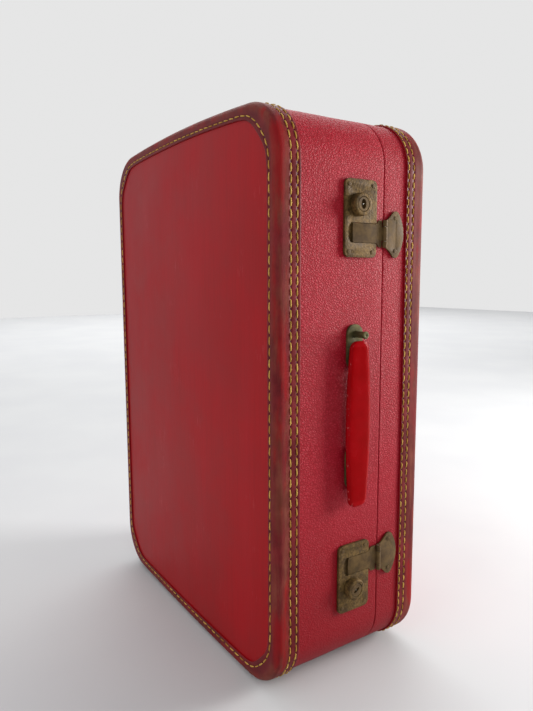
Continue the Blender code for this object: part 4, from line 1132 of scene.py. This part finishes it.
def camera():
    lens = bpy.data.cameras.new("camera")
    lens.lens = CAMERA_LENS
    lens.sensor_width = 36
    lens.clip_start, lens.clip_end = 0.01, 50
    item = bpy.data.objects.new("camera", lens)
    bpy.context.scene.collection.objects.link(item)
    yaw, down, roll = (math.radians(a) for a in (CAMERA_YAW, CAMERA_DOWN, CAMERA_ROLL))
    forward = Vector((math.sin(yaw) * math.cos(down), math.cos(yaw) * math.cos(down), -math.sin(down)))
    right = Vector((math.cos(yaw), -math.sin(yaw), 0))
    up = right.cross(forward)
    tilted_right = right * math.cos(roll) + up * math.sin(roll)
    tilted_up = up * math.cos(roll) - right * math.sin(roll)
    basis = Matrix((tilted_right, tilted_up, -forward)).transposed()
    item.matrix_world = Matrix.Translation(CAMERA_PLACE) @ basis.to_4x4()
    bpy.context.scene.camera = item


def area_light(name, place, target, size, power, tint=(1, 1, 1)):
    data = bpy.data.lights.new(name, "AREA")
    data.shape = "RECTANGLE"
    data.size, data.size_y = size
    data.energy = power
    data.color = tint
    item = bpy.data.objects.new(name, data)
    bpy.context.scene.collection.objects.link(item)
    item.location = place
    item.rotation_euler = (Vector(target) - Vector(place)).to_track_quat("-Z", "Y").to_euler()


def studio():
    """Pale floor and soft light, brightest from the right of the locks."""
    half = 6.0
    floor = link("floor", mesh_from([(-half, -half, -0.0002), (half, -half, -0.0002), (half, half, -0.0002),
                                     (-half, half, -0.0002)], [(0, 1, 2, 3)], "floor"))
    floor.data.materials.append(pale_floor())
    world = bpy.data.worlds.new("studio")
    world.use_nodes = True
    tree = world.node_tree
    backdrop = tree.nodes["Background"]
    direction = tree.nodes.new("ShaderNodeSeparateXYZ")
    tree.links.new(tree.nodes.new("ShaderNodeTexCoord").outputs["Generated"], direction.inputs[0])
    side = tree.nodes.new("ShaderNodeMapRange")
    side.interpolation_type = "SMOOTHSTEP"
    for socket, value in zip(("From Min", "From Max", "To Min", "To Max"), (-0.75, 0.30, 0.30, 0.79)):
        side.inputs[socket].default_value = value
    tree.links.new(direction.outputs["Y"], side.inputs["Value"])
    tree.links.new(side.outputs["Result"], backdrop.inputs["Strength"])
    backdrop.inputs["Color"].default_value = (1.0, 1.0, 1.0, 1.0)
    bpy.context.scene.world = world
    area_light("key", (1.7, -0.80, 0.62), (0.0, -0.18, 0.28), (0.6, 0.8), 52, (1.0, 0.98, 0.96))
    area_light("fill", (-1.9, -0.4, 1.1), (0.0, 0.0, 0.25), (1.4, 1.4), 9, (0.97, 0.98, 1.0))
    area_light("front", (-0.7, -1.9, 1.1), (0.0, -0.1, 0.25), (1.2, 1.2), 6)
    area_light("ceiling", (2.2, 3.6, 3.2), (2.2, 3.6, 0.0), (5.0, 5.0), 190)
    bpy.context.scene.view_settings.view_transform = "Standard"


camera()
studio()
steel = dull_steel()
shells(pebbled_vinyl(), panel_vinyl(), binding_vinyl(), gold_thread(),
       cloth("lining", colour(150, 132, 104), colour(184, 166, 134)))
fittings(aged_brass("hammered_brass", colour(70, 52, 28), colour(112, 88, 50), 1.0, 560, 0.55),
         aged_brass("cast_brass", colour(74, 56, 34), colour(104, 82, 50), 0.25, 300, 0.10, 0.20),
         aged_brass("post_brass", colour(60, 56, 34), colour(96, 90, 56), 0.2, 300, 0.25), steel)
build_grip(grip_plastic())
build_pocket(cloth("pocket_cloth", colour(140, 122, 96), colour(176, 158, 126)),
             cloth("elastic", colour(120, 104, 82), colour(160, 144, 116), (2600, 700, 2600)))
dress_cad_nodes(box_board(), steel)
